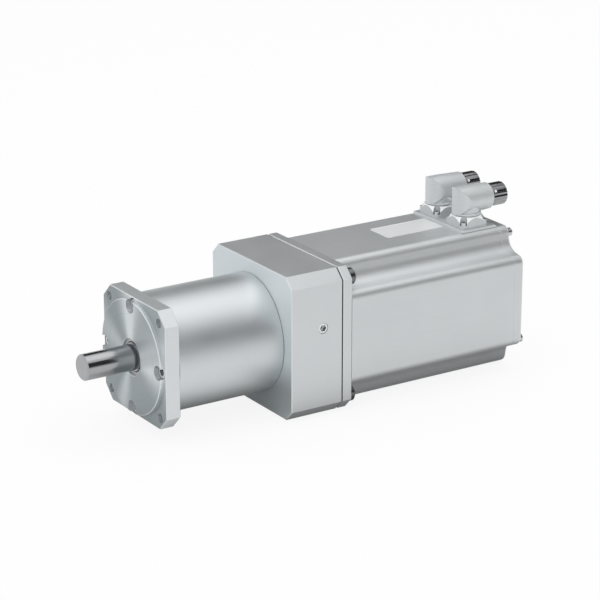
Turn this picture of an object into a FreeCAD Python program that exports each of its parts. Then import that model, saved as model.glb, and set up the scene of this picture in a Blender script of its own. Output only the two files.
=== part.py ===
"""Planetary gearmotor: servo motor, square adapter and single-stage planetary gear unit.

The origin is the centre of the output flange's mating face. +X points out of the output shaft,
+Z points up to the connectors, and everything behind the mating face has a negative x.
Sizes are in millimetres.
"""
import FreeCAD
import Part
import math
import os

# Output end of the gear unit
SHAFT_D = 25.0
SHAFT_REACH = 55.0
SHAFT_CHAMFER = 1.2
GEAR_SIDE = 115.0
FLANGE_CORNER = 13.2
FLANGE_T = 15.0
PILOT_MARGIN = 2.5
PILOT_H = 4.0
MOUNT_EDGE = 6.983
MOUNT_HOLE_D = 9.0
FLANGE_SCREW_INSET = 7.75
EDGE_BREAK = 0.7

# Output seal and bearings
SEAL_STEP = 1.0
SEAL_SECTION = 4.0
SEAL_W = 7.0
SEAL_RECESS = 2.5
SEAL_LAND = 3.0
OUT_BEARING_BORE = 35.0
OUT_BEARING_OD = 62.0
OUT_BEARING_W = 14.0
OUT_ROLLERS = 12
ROLLER_SHARE = 0.5
ROLLER_RIB = 2.0
BEARING_SPACER_L = 15.0
CIRCLIP_T = 2.0
CIRCLIP_DEPTH = 1.5
HUB_LIP = 2.0

# Planetary stage
MODULE = 1.5
PRESSURE_ANGLE = 20.0
SUN_TEETH = 18
PLANET_TEETH = 18
PLANETS = 3
PLANET_W = 28.0
ADDENDUM = 1.0
DEDENDUM = 1.25
RING_ADDENDUM = 0.8
TOOTH_THINNING = 0.16
PIN_D = 10.0
NEEDLE_D = 3.0
NEEDLES = 12
WASHER_WALL = 3.0
WASHER_T = 1.5
END_PLAY = 0.3
CARRIER_RIM = 5.0
CARRIER_WEB = 8.0
CARRIER_GAP = 1.5
WINDOW_GAP = 1.0
SUN_OVERHANG = 1.0
RING_TOOTH_MARGIN = 4.0

# Gear housing and adapter
HOUSING_WALL = 14.5
HOUSING_L = 111.2
GASKET_T = 0.5
DRIVE_SIDE = 141.0
ADAPTER_CORNER = 10.3
ADAPTER_L = 57.2
ADAPTER_LIP = 3.0
ADAPTER_SCREW_INSET = 7.5
ADAPTER_SCREWS = 6
SEAM_GAP = 1.0
SEAM_DEPTH = 1.5
IN_BEARING_BORE = 40.0
IN_BEARING_OD = 68.0
IN_BEARING_W = 15.0
IN_ROLLERS = 12
ACCESS_SETBACK = 22.2
PLUG_D = 10.6
PLUG_L = 9.0
PLUG_RECESS = 0.5
PLUG_SOCKET = 6.0

# Clamp hub on the motor shaft
MOTOR_SHAFT_D = 22.0
MOTOR_SHAFT_REACH = 44.0
HUB_WALL = 2.5
HUB_GAP = 5.7
HUB_SLOT = 2.0
HUB_SLOTS = 4
CLAMP_RING_RIM = 9.0
CLAMP_RING_W = 15.0
CLAMP_SLIT = 2.0

# Motor
MOTOR_PILOT_MARGIN = 5.5
MOTOR_PILOT_H = 3.5
MOTOR_FLANGE_T = 10.0
MOTOR_SCREW_ROOM = 1.1
LOBE_INSET = 25.6
RECESS_DEPTH = 21.3
RECESS_FILLET = 14.0
LOBE_EDGE_R = 8.0
MOTOR_BODY_L = 190.8
MOTOR_WALL = 4.73
REAR_COVER_T = 11.4
REAR_COVER_ROUND = 3.6
REAR_COVER_RIM = 9.0
REAR_COVER_HOLLOW = 6.0
REAR_SEAM = 0.4
END_SCREW_ALONG = 3.9
END_SCREW_INSET = 7.8
SPOT_FACE = 0.8
MOTOR_BEARING_BORE = 30.0
MOTOR_BEARING_OD = 62.0
MOTOR_BEARING_W = 16.0
MOTOR_ROLLERS = 10
MOTOR_SEAL_SECTION = 6.0
MOTOR_SEAL_W = 6.0
BEARING_HUB_WALL = 7.0
SPIGOT_L = 6.0
STATOR_GAP = 18.0
STATOR_L = 90.0
STATOR_BORE_SHARE = 0.56
STATOR_SLOTS = 12
STATOR_YOKE = 9.0
STATOR_TOOTH_W = 9.0
STATOR_SHOE = 2.5
STATOR_SLOT_MOUTH = 3.0
STATOR_END_SHEET = 1.0
COIL_HANG = 11.0
COIL_CLEAR = 0.4
AIR_GAP = 0.7
MAGNETS = 8
MAGNET_T = 3.5
MAGNET_ARC = 38.0
ROTOR_SEAT_SHARE = 0.605
REAR_SHIELD_GAP = 18.0
PRELOAD_T = 1.2
RESOLVER_W = 12.0
RESOLVER_GAP = 2.0
RESOLVER_SECTION = 11.0
RESOLVER_ROTOR_SECTION = 5.0
RESOLVER_SEAT_D = 20.0

# Connectors on the motor's top
CONNECTOR_SETBACK = 24.3
CONNECTOR_SPREAD = 0.7516
PLATE_FRONT_MARGIN = 2.9
PLATE_REAR_MARGIN = 7.1
PLATE_SIDE_MARGIN = 3.4
PLATE_T = 2.2
BASE_SIDE = 31.0
BASE_CORNER_R = 4.5
BASE_H = 10.5
BASE_LEDGE = 3.0
BASE_CROWN_EDGE = 0.5
BASE_CROWN_ANGLE = 54.0
BASE_SCREW_INSET = 3.5
POCKET_EXTRA = 1.3
SWIVEL_D = 20.0
SWIVEL_SPIGOT = 8.0
SWIVEL_WALL = 2.5
COLLAR_STEP = 0.3
COLLAR_H = 2.6
COLLAR_CHAMFER = 0.8
NECK_STEP = 1.4
BARREL_FRONT_D = 28.0
BARREL_LIFT = 0.2
BARREL_FRONT_STEP = 0.5
BARREL_TAPER = 2.0
BARREL_REACH = 25.0
BARREL_EDGE = 1.2
NOSE_STEP = 2.8
NOSE_L = 16.6
SOCKET_WALL = 1.6
SOCKET_DEPTH = 12.5
RING_WALL = 1.2
RING_L = 15.6
RING_FLUTES = 20
RING_FLUTE = 0.5
INSERT_T = 2.0
PIN_CIRCLE_SHARE = 0.58
CONTACT_PINS = 6
CONTACT_D = 1.8
CONTACT_L = 4.0

# Fits
SEAT_CLEARANCE = 0.02
RUN_CLEARANCE = 0.05
FACE_CLEARANCE = 0.3

# Socket head screws: nominal diameters, grips and the proportions of their heads
HEAD_SHARE = 1.5
HEAD_EXTRA = 1.0
SOCKET_WIDTH_SHARE = 0.8
SOCKET_DEPTH_SHARE = 0.55
LOW_HEAD = 0.75
FLANGE_SCREW = 8.0
FLANGE_SCREW_GRIP = 20.0
ADAPTER_SCREW = 6.0
ADAPTER_SCREW_GRIP = 13.0
CLAMP_SCREW = 6.0
CLAMP_SCREW_L = 22.0
MOTOR_SCREW = 10.0
MOTOR_SCREW_GRIP = 16.0
END_SCREW = 5.0
END_SCREW_GRIP = 14.0
BASE_SCREW = 3.0
BASE_SCREW_GRIP = 6.0
COUNTERBORE_EXTRA = 1.0
HEAD_SINK = 0.5


def head_d(size):
    """Head diameter of a socket head screw."""
    return HEAD_SHARE * size + HEAD_EXTRA


# Sizes that follow from the gear unit's side
PILOT_D = GEAR_SIDE - 2 * PILOT_MARGIN
MOUNT_PCD = math.sqrt(2) * (GEAR_SIDE - FLANGE_CORNER) - 2 * MOUNT_EDGE
HUB_D = GEAR_SIDE - 2 * HOUSING_WALL
FLANGE_SCREW_PCD = GEAR_SIDE - 2 * FLANGE_SCREW_INSET
ADAPTER_SCREW_PCD = GEAR_SIDE - 2 * ADAPTER_SCREW_INSET
ADAPTER_CAVITY_D = ADAPTER_SCREW_PCD + head_d(ADAPTER_SCREW) + 2 * COUNTERBORE_EXTRA
SEAL_JOURNAL_D = SHAFT_D + 2 * SEAL_STEP
SEAL_OD = SEAL_JOURNAL_D + 2 * SEAL_SECTION

# Sizes that follow from the motor's side
MOTOR_HALF = DRIVE_SIDE / 2
LOBE_HALF = MOTOR_HALF - LOBE_INSET
RECESS_WALL = MOTOR_HALF - RECESS_DEPTH
RECESS_CORNER_R = math.sqrt(2) * RECESS_WALL - (math.sqrt(2) - 1) * RECESS_FILLET
MOTOR_BORE_D = 2 * (RECESS_CORNER_R - MOTOR_WALL)
MOTOR_PILOT_D = DRIVE_SIDE - 2 * MOTOR_PILOT_MARGIN
MOTOR_SCREW_CORNER = RECESS_WALL + head_d(MOTOR_SCREW) / 2 + MOTOR_SCREW_ROOM
REAR_COVER_HOLLOW_D = MOTOR_BORE_D - 2 * REAR_COVER_RIM
MOTOR_SEAL_OD = MOTOR_BEARING_BORE + 2 * MOTOR_SEAL_SECTION
STATOR_BORE_D = MOTOR_BORE_D * STATOR_BORE_SHARE
ROTOR_SEAT_D = STATOR_BORE_D * ROTOR_SEAT_SHARE
RESOLVER_BORE_D = RESOLVER_SEAT_D + 2 * RESOLVER_ROTOR_SECTION
RESOLVER_OD = RESOLVER_BORE_D + 2 * RESOLVER_SECTION

# Sizes of the clamp and of the connectors that follow from their seats
ACCESS_OFFSET = MOTOR_SHAFT_D / 2 + HUB_WALL + CLAMP_SCREW / 2 + HEAD_SINK
CLAMP_RING_D = 2 * ACCESS_OFFSET + CLAMP_SCREW + 2 * CLAMP_RING_RIM
CONNECTOR_PITCH = CONNECTOR_SPREAD * (2 * LOBE_HALF - BASE_SIDE)
BASE_SCREW_PITCH = BASE_SIDE - 2 * BASE_SCREW_INSET
POCKET_D = head_d(BASE_SCREW) + POCKET_EXTRA
WIRE_HOLE_D = SWIVEL_D - 2 * SWIVEL_WALL
COLLAR_D = BARREL_FRONT_D + 2 * COLLAR_STEP
NECK_D = BARREL_FRONT_D - 2 * NECK_STEP
BARREL_REAR_D = BARREL_FRONT_D - BARREL_TAPER
NOSE_D = BARREL_REAR_D - 2 * NOSE_STEP
NOSE_REACH = BARREL_REACH + NOSE_L
SOCKET_D = NOSE_D - 2 * SOCKET_WALL
RING_D = NOSE_D + 2 * RING_WALL

# Stations along the axis, from the mating face to the rear
X_PILOT = PILOT_H
X_FLANGE = -FLANGE_T
X_SEAL = X_PILOT - SEAL_RECESS
X_BEARING_1 = X_SEAL - SEAL_W - SEAL_LAND
X_BEARING_2 = X_BEARING_1 - OUT_BEARING_W - BEARING_SPACER_L
X_CIRCLIP = X_BEARING_2 - OUT_BEARING_W
X_HUB_END = X_CIRCLIP - CIRCLIP_T - HUB_LIP
X_CARRIER = X_HUB_END - CARRIER_GAP
X_WINDOW = X_CARRIER - CARRIER_WEB
WINDOW_L = PLANET_W + 2 * (WASHER_T + END_PLAY)
X_CARRIER_END = X_WINDOW - WINDOW_L - CARRIER_WEB
X_PLANET = X_WINDOW - WASHER_T - END_PLAY
X_HOUSING_END = X_FLANGE - HOUSING_L
X_ADAPTER = X_HOUSING_END - GASKET_T
X_IN_BEARING = X_ADAPTER - ADAPTER_LIP
X_CAVITY = X_IN_BEARING - IN_BEARING_W
X_MOTOR = X_ADAPTER - ADAPTER_L
X_BODY = X_MOTOR - MOTOR_FLANGE_T
X_COVER = X_BODY - MOTOR_BODY_L
X_END = X_COVER - REAR_COVER_T
X_ACCESS = X_MOTOR + ACCESS_SETBACK
X_HUB = X_CAVITY - ADAPTER_LIP
X_CLAMP_END = X_MOTOR + MOTOR_PILOT_H + HUB_GAP
X_MOTOR_SHAFT = X_MOTOR + MOTOR_SHAFT_REACH
X_MOTOR_BEARING_1 = X_MOTOR - MOTOR_SEAL_W
X_BEARING_HUB = X_MOTOR_BEARING_1 - MOTOR_BEARING_W
X_STATOR = X_BEARING_HUB - STATOR_GAP
X_STATOR_END = X_STATOR - STATOR_L
X_MOTOR_BEARING_2 = X_STATOR_END - REAR_SHIELD_GAP
X_REAR_SHIELD = X_MOTOR_BEARING_2 - MOTOR_BEARING_W - PRELOAD_T
X_RESOLVER = X_REAR_SHIELD - RESOLVER_GAP
X_CONNECTOR = X_COVER + CONNECTOR_SETBACK

# Gear geometry
RING_TEETH = SUN_TEETH + 2 * PLANET_TEETH
PLANET_ORBIT = MODULE * (SUN_TEETH + PLANET_TEETH) / 2
NEEDLE_ORBIT = PIN_D / 2 + RUN_CLEARANCE + NEEDLE_D / 2
PLANET_BORE_R = NEEDLE_ORBIT + NEEDLE_D / 2 + RUN_CLEARANCE
CARRIER_R = PLANET_ORBIT + PIN_D / 2 + CARRIER_RIM
PLANET_ANGLES = [90.0 + 360.0 * index / PLANETS for index in range(PLANETS)]

# Heights of the connector parts above the motor's axis
Z_PLATE = MOTOR_HALF + PLATE_T
Z_BASE = Z_PLATE + BASE_H
Z_COLLAR = Z_BASE + FACE_CLEARANCE
Z_BARREL = Z_COLLAR + BARREL_LIFT + BARREL_FRONT_D / 2
CONNECTOR_SIDES = {1: -CONNECTOR_PITCH / 2, 2: CONNECTOR_PITCH / 2}

ORIGIN = FreeCAD.Vector(0, 0, 0)
ALONG = FreeCAD.Vector(1, 0, 0)
SIDE = FreeCAD.Vector(0, 1, 0)
UPWARD = FreeCAD.Vector(0, 0, 1)


def disc(x_front, x_back, radius, y=0.0, z=0.0):
    """Cylinder along X between two stations."""
    return Part.makeCylinder(radius, x_front - x_back, FreeCAD.Vector(x_back, y, z), ALONG)


def ring(x_front, x_back, outer_r, inner_r, y=0.0, z=0.0):
    """Plain ring along X between two stations."""
    reach = x_front - x_back
    bore = disc(x_front + reach, x_back - reach, inner_r, y, z)
    return disc(x_front, x_back, outer_r, y, z).cut(bore)


def turned(points):
    """Solid of revolution about X from a closed outline of (x, radius) points."""
    corners = [FreeCAD.Vector(x, 0, radius) for x, radius in points]
    outline = Part.makePolygon(corners + corners[:1])
    return Part.Face(outline).revolve(ORIGIN, ALONG, 360)


def outline_wire(points, x):
    """Closed outline in the plane of station x, with a tangent arc at each rounded (y, z, r) corner."""
    edges = []
    starts = []
    ends = []
    for index, (y, z, radius) in enumerate(points):
        corner = FreeCAD.Vector(x, y, z)
        before = points[index - 1]
        after = points[(index + 1) % len(points)]
        to_before = (FreeCAD.Vector(x, before[0], before[1]) - corner).normalize()
        to_after = (FreeCAD.Vector(x, after[0], after[1]) - corner).normalize()
        if radius == 0:
            starts.append(corner)
            ends.append(corner)
            edges.append(None)
            continue
        half = to_before.getAngle(to_after) / 2
        reach = radius / math.tan(half)
        middle = (to_before + to_after).normalize()
        arc_middle = corner + middle * (radius / math.sin(half) - radius)
        starts.append(corner + to_before * reach)
        ends.append(corner + to_after * reach)
        edges.append(Part.Arc(starts[-1], arc_middle, ends[-1]).toShape())
    pieces = []
    for index, arc in enumerate(edges):
        if arc is not None:
            pieces.append(arc)
        following = starts[(index + 1) % len(points)]
        if ends[index].distanceToPoint(following) > 1e-6:
            pieces.append(Part.LineSegment(ends[index], following).toShape())
    return Part.Wire(pieces)


def prism(points, x_front, x_back):
    """Straight extrusion of an outline along X."""
    face = Part.Face(outline_wire(points, x_back))
    return face.extrude(FreeCAD.Vector(x_front - x_back, 0, 0))


def chamfered_square(side, corner):
    """Square outline with cut corners, as sharp (y, z, r) points."""
    half = side / 2
    short = half - corner
    quarter = [(half, -short), (half, short), (short, half), (-short, half),
               (-half, short), (-half, -short), (-short, -half), (short, -half)]
    return [(y, z, 0) for y, z in quarter]


def edges_at(solid, x):
    """Edges that lie in the plane of station x."""
    return [edge for edge in solid.Edges
            if all(abs(vertex.Point.x - x) < 1e-6 for vertex in edge.Vertexes)]


def broken_edges(solid, x, size):
    """Breaks the outline's edges that lie in the plane of station x."""
    return solid.makeChamfer(size, edges_at(solid, x))


def hexagon(across_flats, x_front, x_back, y=0.0, z=0.0):
    """Hexagonal prism along X."""
    radius = across_flats / math.sqrt(3)
    points = []
    for index in range(6):
        angle = math.radians(60 * index)
        points.append((y + radius * math.cos(angle), z + radius * math.sin(angle), 0))
    return prism(points, x_front, x_back)


def socket_screw(size, shank, height_share=1.0):
    """Socket head screw on the X axis: seat at x = 0, head towards +X, shank towards -X."""
    head_r = head_d(size) / 2
    height = height_share * size
    bevel = size / 10
    profile = [(-shank, 0), (-shank, size / 2), (0, size / 2), (0, head_r),
               (height - bevel, head_r), (height, head_r - bevel), (height, 0)]
    floor = height * (1 - SOCKET_DEPTH_SHARE)
    return turned(profile).cut(hexagon(size * SOCKET_WIDTH_SHARE, 2 * height, floor))


def placed(shape, x, y, z, axis=None, degrees=0.0):
    """Copy of a shape, turned about an axis through the origin and then moved."""
    copy = shape.copy()
    if axis is not None:
        copy.rotate(ORIGIN, axis, degrees)
    copy.translate(FreeCAD.Vector(x, y, z))
    return copy


def around(radius, angles):
    """Points (y, z) on a circle about the X axis."""
    return [(radius * math.cos(math.radians(angle)), radius * math.sin(math.radians(angle)))
            for angle in angles]


def four_corners(half):
    """The four corners of a square about the axis."""
    return [(half, half), (-half, half), (-half, -half), (half, -half)]


def end_screw_spots():
    """Points (y, z) of the screws at the motor housing's ends, one on each lobe, as a pinwheel."""
    along = LOBE_HALF - END_SCREW_ALONG
    outwards = MOTOR_HALF - END_SCREW_INSET
    return [(along, outwards), (-outwards, along), (-along, -outwards), (outwards, -along)]


def cut_all(solid, tools):
    """Solid with all the tools cut away."""
    return solid.cut(Part.makeCompound(tools)) if tools else solid


def group(solids):
    """Separate solids that share one node."""
    return Part.makeCompound(solids)


def roller_bearing(x_front, width, bore_d, outer_d, rollers):
    """Outer ring with ribs, plain inner ring and rollers of a bearing about the X axis."""
    roller_d = ROLLER_SHARE * (outer_d - bore_d) / 2
    orbit = (bore_d + outer_d) / 4
    x_back = x_front - width
    track = roller_d / 2 + RUN_CLEARANCE
    rib_r = orbit + track - ROLLER_RIB
    outer_r = outer_d / 2
    outer = turned([(x_front, outer_r), (x_front, rib_r), (x_front - ROLLER_RIB, rib_r),
                    (x_front - ROLLER_RIB, orbit + track), (x_back + ROLLER_RIB, orbit + track),
                    (x_back + ROLLER_RIB, rib_r), (x_back, rib_r), (x_back, outer_r)])
    inner = ring(x_front, x_back, orbit - track, bore_d / 2)
    spots = around(orbit, [360.0 * index / rollers for index in range(rollers)])
    end = ROLLER_RIB + FACE_CLEARANCE
    rolling = [disc(x_front - end, x_back + end, roller_d / 2, y, z) for y, z in spots]
    return outer, inner, rolling


def involute(base_r, radius):
    """Angle, in radians, that an involute has turned through at a radius."""
    roll = math.sqrt(max(0.0, (radius / base_r) ** 2 - 1))
    return roll - math.atan(roll)


def polar(x, radius, angle):
    """Point in the plane of station x at an angle in radians from +Y."""
    return FreeCAD.Vector(x, radius * math.cos(angle), radius * math.sin(angle))


def gear_face(teeth, inner_r, outer_r, half_at_pitch, first_angle, x):
    """Flat gear outline whose teeth (or, on a ring gear, spaces) are centred on first_angle.

    half_at_pitch is half of the tooth's angle on the pitch circle. Each flank is an involute,
    carried radially below the base circle.
    """
    pitch_r = MODULE * teeth / 2
    base_r = pitch_r * math.cos(math.radians(PRESSURE_ANGLE))
    start_r = max(base_r, inner_r)
    radii = [start_r + (outer_r - start_r) * step / 3 for step in range(4)]
    halves = [half_at_pitch + involute(base_r, pitch_r) - involute(base_r, radius) for radius in radii]
    edges = []
    for tooth in range(teeth):
        centre = first_angle + 2 * math.pi * tooth / teeth
        after = centre + 2 * math.pi / teeth
        rising = [polar(x, radius, centre - half) for radius, half in zip(radii, halves)]
        falling = [polar(x, radius, centre + half) for radius, half in zip(radii, halves)]
        falling.reverse()
        root_in = polar(x, inner_r, centre - halves[0])
        root_out = polar(x, inner_r, centre + halves[0])
        next_root = polar(x, inner_r, after - halves[0])
        for flank in (rising, falling):
            curve = Part.BSplineCurve()
            curve.interpolate(flank)
            edges.append(curve.toShape())
            if flank is rising:
                tip = polar(x, outer_r, centre)
                edges.append(Part.Arc(rising[-1], tip, falling[0]).toShape())
        if start_r > inner_r:
            edges.append(Part.LineSegment(root_in, rising[0]).toShape())
            edges.append(Part.LineSegment(falling[-1], root_out).toShape())
        root_middle = polar(x, inner_r, (centre + after) / 2)
        edges.append(Part.Arc(root_out, root_middle, next_root).toShape())
    return Part.Face(Part.Wire(Part.__sortEdges__(edges)))


def tooth_half_angle(teeth, thinning):
    """Half of a tooth's angle on the pitch circle, less its share of the backlash."""
    return math.pi / (2 * teeth) - thinning / (MODULE * teeth)


def spur_gear(teeth, first_angle, x_front, x_back):
    """External gear about the X axis."""
    pitch_r = MODULE * teeth / 2
    root_r = pitch_r - DEDENDUM * MODULE
    tip_r = pitch_r + ADDENDUM * MODULE
    half = tooth_half_angle(teeth, TOOTH_THINNING / 2)
    face = gear_face(teeth, root_r, tip_r, half, first_angle, x_back)
    return face.extrude(FreeCAD.Vector(x_front - x_back, 0, 0))


def ring_gear_space(x_front, x_back):
    """Solid that the ring gear's teeth leave free, with a space's edge beside each tooth."""
    pitch_r = MODULE * RING_TEETH / 2
    tip_r = pitch_r - RING_ADDENDUM * MODULE
    root_r = pitch_r + DEDENDUM * MODULE
    half = tooth_half_angle(RING_TEETH, -TOOTH_THINNING / 2)
    first_space = math.radians(PLANET_ANGLES[0]) + math.pi / RING_TEETH
    face = gear_face(RING_TEETH, tip_r, root_r, half, first_space, x_back)
    return face.extrude(FreeCAD.Vector(x_front - x_back, 0, 0))


def motor_outline():
    """Square motor section with a recess along each corner, as rounded (y, z, r) points."""
    corner = [(MOTOR_HALF, LOBE_HALF, LOBE_EDGE_R), (RECESS_WALL, RECESS_WALL, RECESS_FILLET),
              (LOBE_HALF, MOTOR_HALF, LOBE_EDGE_R)]
    points = []
    for quarter in range(4):
        turn = math.radians(90 * quarter)
        cosine = round(math.cos(turn))
        sine = round(math.sin(turn))
        points += [(y * cosine - z * sine, y * sine + z * cosine, r) for y, z, r in corner]
    return points


def output_flange():
    plate = prism(chamfered_square(GEAR_SIDE, FLANGE_CORNER), 0, X_FLANGE)
    plate = broken_edges(plate, 0, EDGE_BREAK)
    plate = broken_edges(plate, X_FLANGE, EDGE_BREAK)
    boss = turned([(X_FLANGE, 0), (X_FLANGE, PILOT_D / 2), (X_PILOT - EDGE_BREAK, PILOT_D / 2),
                   (X_PILOT, PILOT_D / 2 - EDGE_BREAK), (X_PILOT, 0)])
    hub = disc(X_FLANGE, X_HUB_END, HUB_D / 2 - SEAT_CLEARANCE)
    seal_r = SEAL_OD / 2 + SEAT_CLEARANCE
    seal_bore = turned([(X_SEAL - SEAL_W, 0), (X_SEAL - SEAL_W, seal_r), (X_PILOT - EDGE_BREAK, seal_r),
                        (X_PILOT, seal_r + EDGE_BREAK), (X_PILOT, 0)])
    shaft_hole = disc(X_PILOT, X_HUB_END, (SEAL_JOURNAL_D + SEAL_LAND) / 2)
    bearing_bore = disc(X_BEARING_1, X_HUB_END, OUT_BEARING_OD / 2 + SEAT_CLEARANCE)
    groove = disc(X_CIRCLIP, X_CIRCLIP - CIRCLIP_T, OUT_BEARING_OD / 2 + CIRCLIP_DEPTH)
    tools = [seal_bore, shaft_hole, bearing_bore, groove]
    x_seat = flange_screw_seat()
    pocket_r = (head_d(FLANGE_SCREW) + COUNTERBORE_EXTRA) / 2
    for y, z in around(FLANGE_SCREW_PCD / 2, [0, 90, 180, 270]):
        tools.append(disc(X_PILOT, x_seat, pocket_r, y, z))
        tools.append(disc(X_PILOT, X_FLANGE, (FLANGE_SCREW + COUNTERBORE_EXTRA) / 2, y, z))
    for y, z in around(MOUNT_PCD / 2, [45, 135, 225, 315]):
        tools.append(disc(0, X_FLANGE, MOUNT_HOLE_D / 2, y, z))
    return cut_all(plate.fuse([boss, hub]).removeSplitter(), tools)


def flange_screw_seat():
    """Station of the flange screws' seats, which sink the heads below the mating face."""
    return -HEAD_SINK - FLANGE_SCREW


def flange_screws():
    x_seat = flange_screw_seat()
    screw = socket_screw(FLANGE_SCREW, x_seat - X_FLANGE + FLANGE_SCREW_GRIP)
    spots = around(FLANGE_SCREW_PCD / 2, [0, 90, 180, 270])
    return group([placed(screw, x_seat, y, z) for y, z in spots])


def shaft_seal():
    lip_r = SEAL_JOURNAL_D / 2 + RUN_CLEARANCE
    outer_r = SEAL_OD / 2
    wall = (outer_r - lip_r) / 3
    x_back = X_SEAL - SEAL_W
    return turned([(X_SEAL, outer_r), (X_SEAL, lip_r + wall), (X_SEAL - wall, lip_r),
                   (X_SEAL - 2 * wall, lip_r), (X_SEAL - 2 * wall, outer_r - wall),
                   (x_back, outer_r - wall), (x_back, outer_r)])


def output_shaft():
    journal_r = OUT_BEARING_BORE / 2 - SEAT_CLEARANCE
    shoulder_r = journal_r + CIRCLIP_DEPTH + HUB_LIP
    shaft = turned([(SHAFT_REACH, 0), (SHAFT_REACH, SHAFT_D / 2 - SHAFT_CHAMFER),
                    (SHAFT_REACH - SHAFT_CHAMFER, SHAFT_D / 2), (X_SEAL, SHAFT_D / 2),
                    (X_SEAL, SEAL_JOURNAL_D / 2), (X_BEARING_1, SEAL_JOURNAL_D / 2),
                    (X_BEARING_1, journal_r), (X_CIRCLIP, journal_r), (X_CIRCLIP, shoulder_r),
                    (X_CARRIER, shoulder_r), (X_CARRIER, CARRIER_R),
                    (X_CARRIER_END, CARRIER_R), (X_CARRIER_END, 0)])
    tip_r = MODULE * (PLANET_TEETH / 2 + ADDENDUM)
    sun_r = MODULE * (SUN_TEETH / 2 + ADDENDUM)
    tools = [disc(X_WINDOW, X_CARRIER_END, sun_r + 2 * WINDOW_GAP)]
    for y, z in around(PLANET_ORBIT, PLANET_ANGLES):
        tools.append(disc(X_WINDOW, X_WINDOW - WINDOW_L, tip_r + WINDOW_GAP, y, z))
        tools.append(disc(X_CARRIER, X_CARRIER_END, PIN_D / 2 + SEAT_CLEARANCE, y, z))
    return cut_all(shaft, tools)


def output_bearings():
    fits = (OUT_BEARING_W, OUT_BEARING_BORE, OUT_BEARING_OD, OUT_ROLLERS)
    first = roller_bearing(X_BEARING_1, *fits)
    second = roller_bearing(X_BEARING_2, *fits)
    return group([first[0], second[0]]), group([first[1], second[1]]), group(first[2] + second[2])


def bearing_spacers():
    x_front = X_BEARING_1 - OUT_BEARING_W
    quarter = (OUT_BEARING_OD - OUT_BEARING_BORE) / 8
    outer = ring(x_front, X_BEARING_2, OUT_BEARING_OD / 2, OUT_BEARING_OD / 2 - quarter)
    inner = ring(x_front, X_BEARING_2, OUT_BEARING_BORE / 2 + quarter, OUT_BEARING_BORE / 2)
    return outer, inner


def bearing_circlip():
    groove_r = OUT_BEARING_OD / 2 + CIRCLIP_DEPTH - SEAT_CLEARANCE
    clip = ring(X_CIRCLIP, X_CIRCLIP - CIRCLIP_T, groove_r, OUT_BEARING_OD / 2 - 2 * CIRCLIP_DEPTH)
    gap = Part.makeBox(4 * CIRCLIP_T, 4 * CIRCLIP_T, OUT_BEARING_OD)
    gap.translate(FreeCAD.Vector(X_CIRCLIP - 2 * CIRCLIP_T, -2 * CIRCLIP_T, 0))
    return clip.cut(gap)


def ring_gear_housing():
    bore_r = HUB_D / 2
    tooth_front = X_PLANET + RING_TOOTH_MARGIN
    tooth_back = X_PLANET - PLANET_W - RING_TOOTH_MARGIN
    body = disc(X_FLANGE, X_HOUSING_END, GEAR_SIDE / 2)
    tools = [disc(X_FLANGE, tooth_front, bore_r), disc(tooth_back, X_HOUSING_END, bore_r),
             ring_gear_space(tooth_front, tooth_back)]
    for y, z in around(FLANGE_SCREW_PCD / 2, [0, 90, 180, 270]):
        depth = FLANGE_SCREW_GRIP + FLANGE_SCREW / 4
        tools.append(disc(X_FLANGE, X_FLANGE - depth, FLANGE_SCREW / 2 + SEAT_CLEARANCE, y, z))
    for y, z in adapter_screw_spots():
        depth = ADAPTER_SCREW_GRIP + ADAPTER_SCREW / 4
        tools.append(disc(X_HOUSING_END + depth, X_HOUSING_END, ADAPTER_SCREW / 2 + SEAT_CLEARANCE, y, z))
    return cut_all(body, tools)


def planet_gear(index):
    y, z = around(PLANET_ORBIT, [PLANET_ANGLES[index]])[0]
    space_inwards = math.radians(PLANET_ANGLES[index]) + math.pi
    first_angle = space_inwards + math.pi / PLANET_TEETH
    gear = spur_gear(PLANET_TEETH, first_angle, X_PLANET, X_PLANET - PLANET_W)
    gear = gear.cut(disc(X_PLANET, X_PLANET - PLANET_W, PLANET_BORE_R))
    return placed(gear, 0, y, z)


def planet_needles(index):
    centre_y, centre_z = around(PLANET_ORBIT, [PLANET_ANGLES[index]])[0]
    spots = around(NEEDLE_ORBIT, [360.0 * needle / NEEDLES for needle in range(NEEDLES)])
    return group([disc(X_PLANET - END_PLAY, X_PLANET - PLANET_W + END_PLAY, NEEDLE_D / 2,
                       centre_y + y, centre_z + z) for y, z in spots])


def planet_pins():
    spots = around(PLANET_ORBIT, PLANET_ANGLES)
    return group([disc(X_CARRIER, X_CARRIER_END, PIN_D / 2, y, z) for y, z in spots])


def planet_washers():
    washers = []
    for y, z in around(PLANET_ORBIT, PLANET_ANGLES):
        for x in (X_WINDOW, X_PLANET - PLANET_W - END_PLAY):
            washers.append(ring(x, x - WASHER_T, PIN_D / 2 + WASHER_WALL, PIN_D / 2 + SEAT_CLEARANCE, y, z))
    return group(washers)


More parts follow.
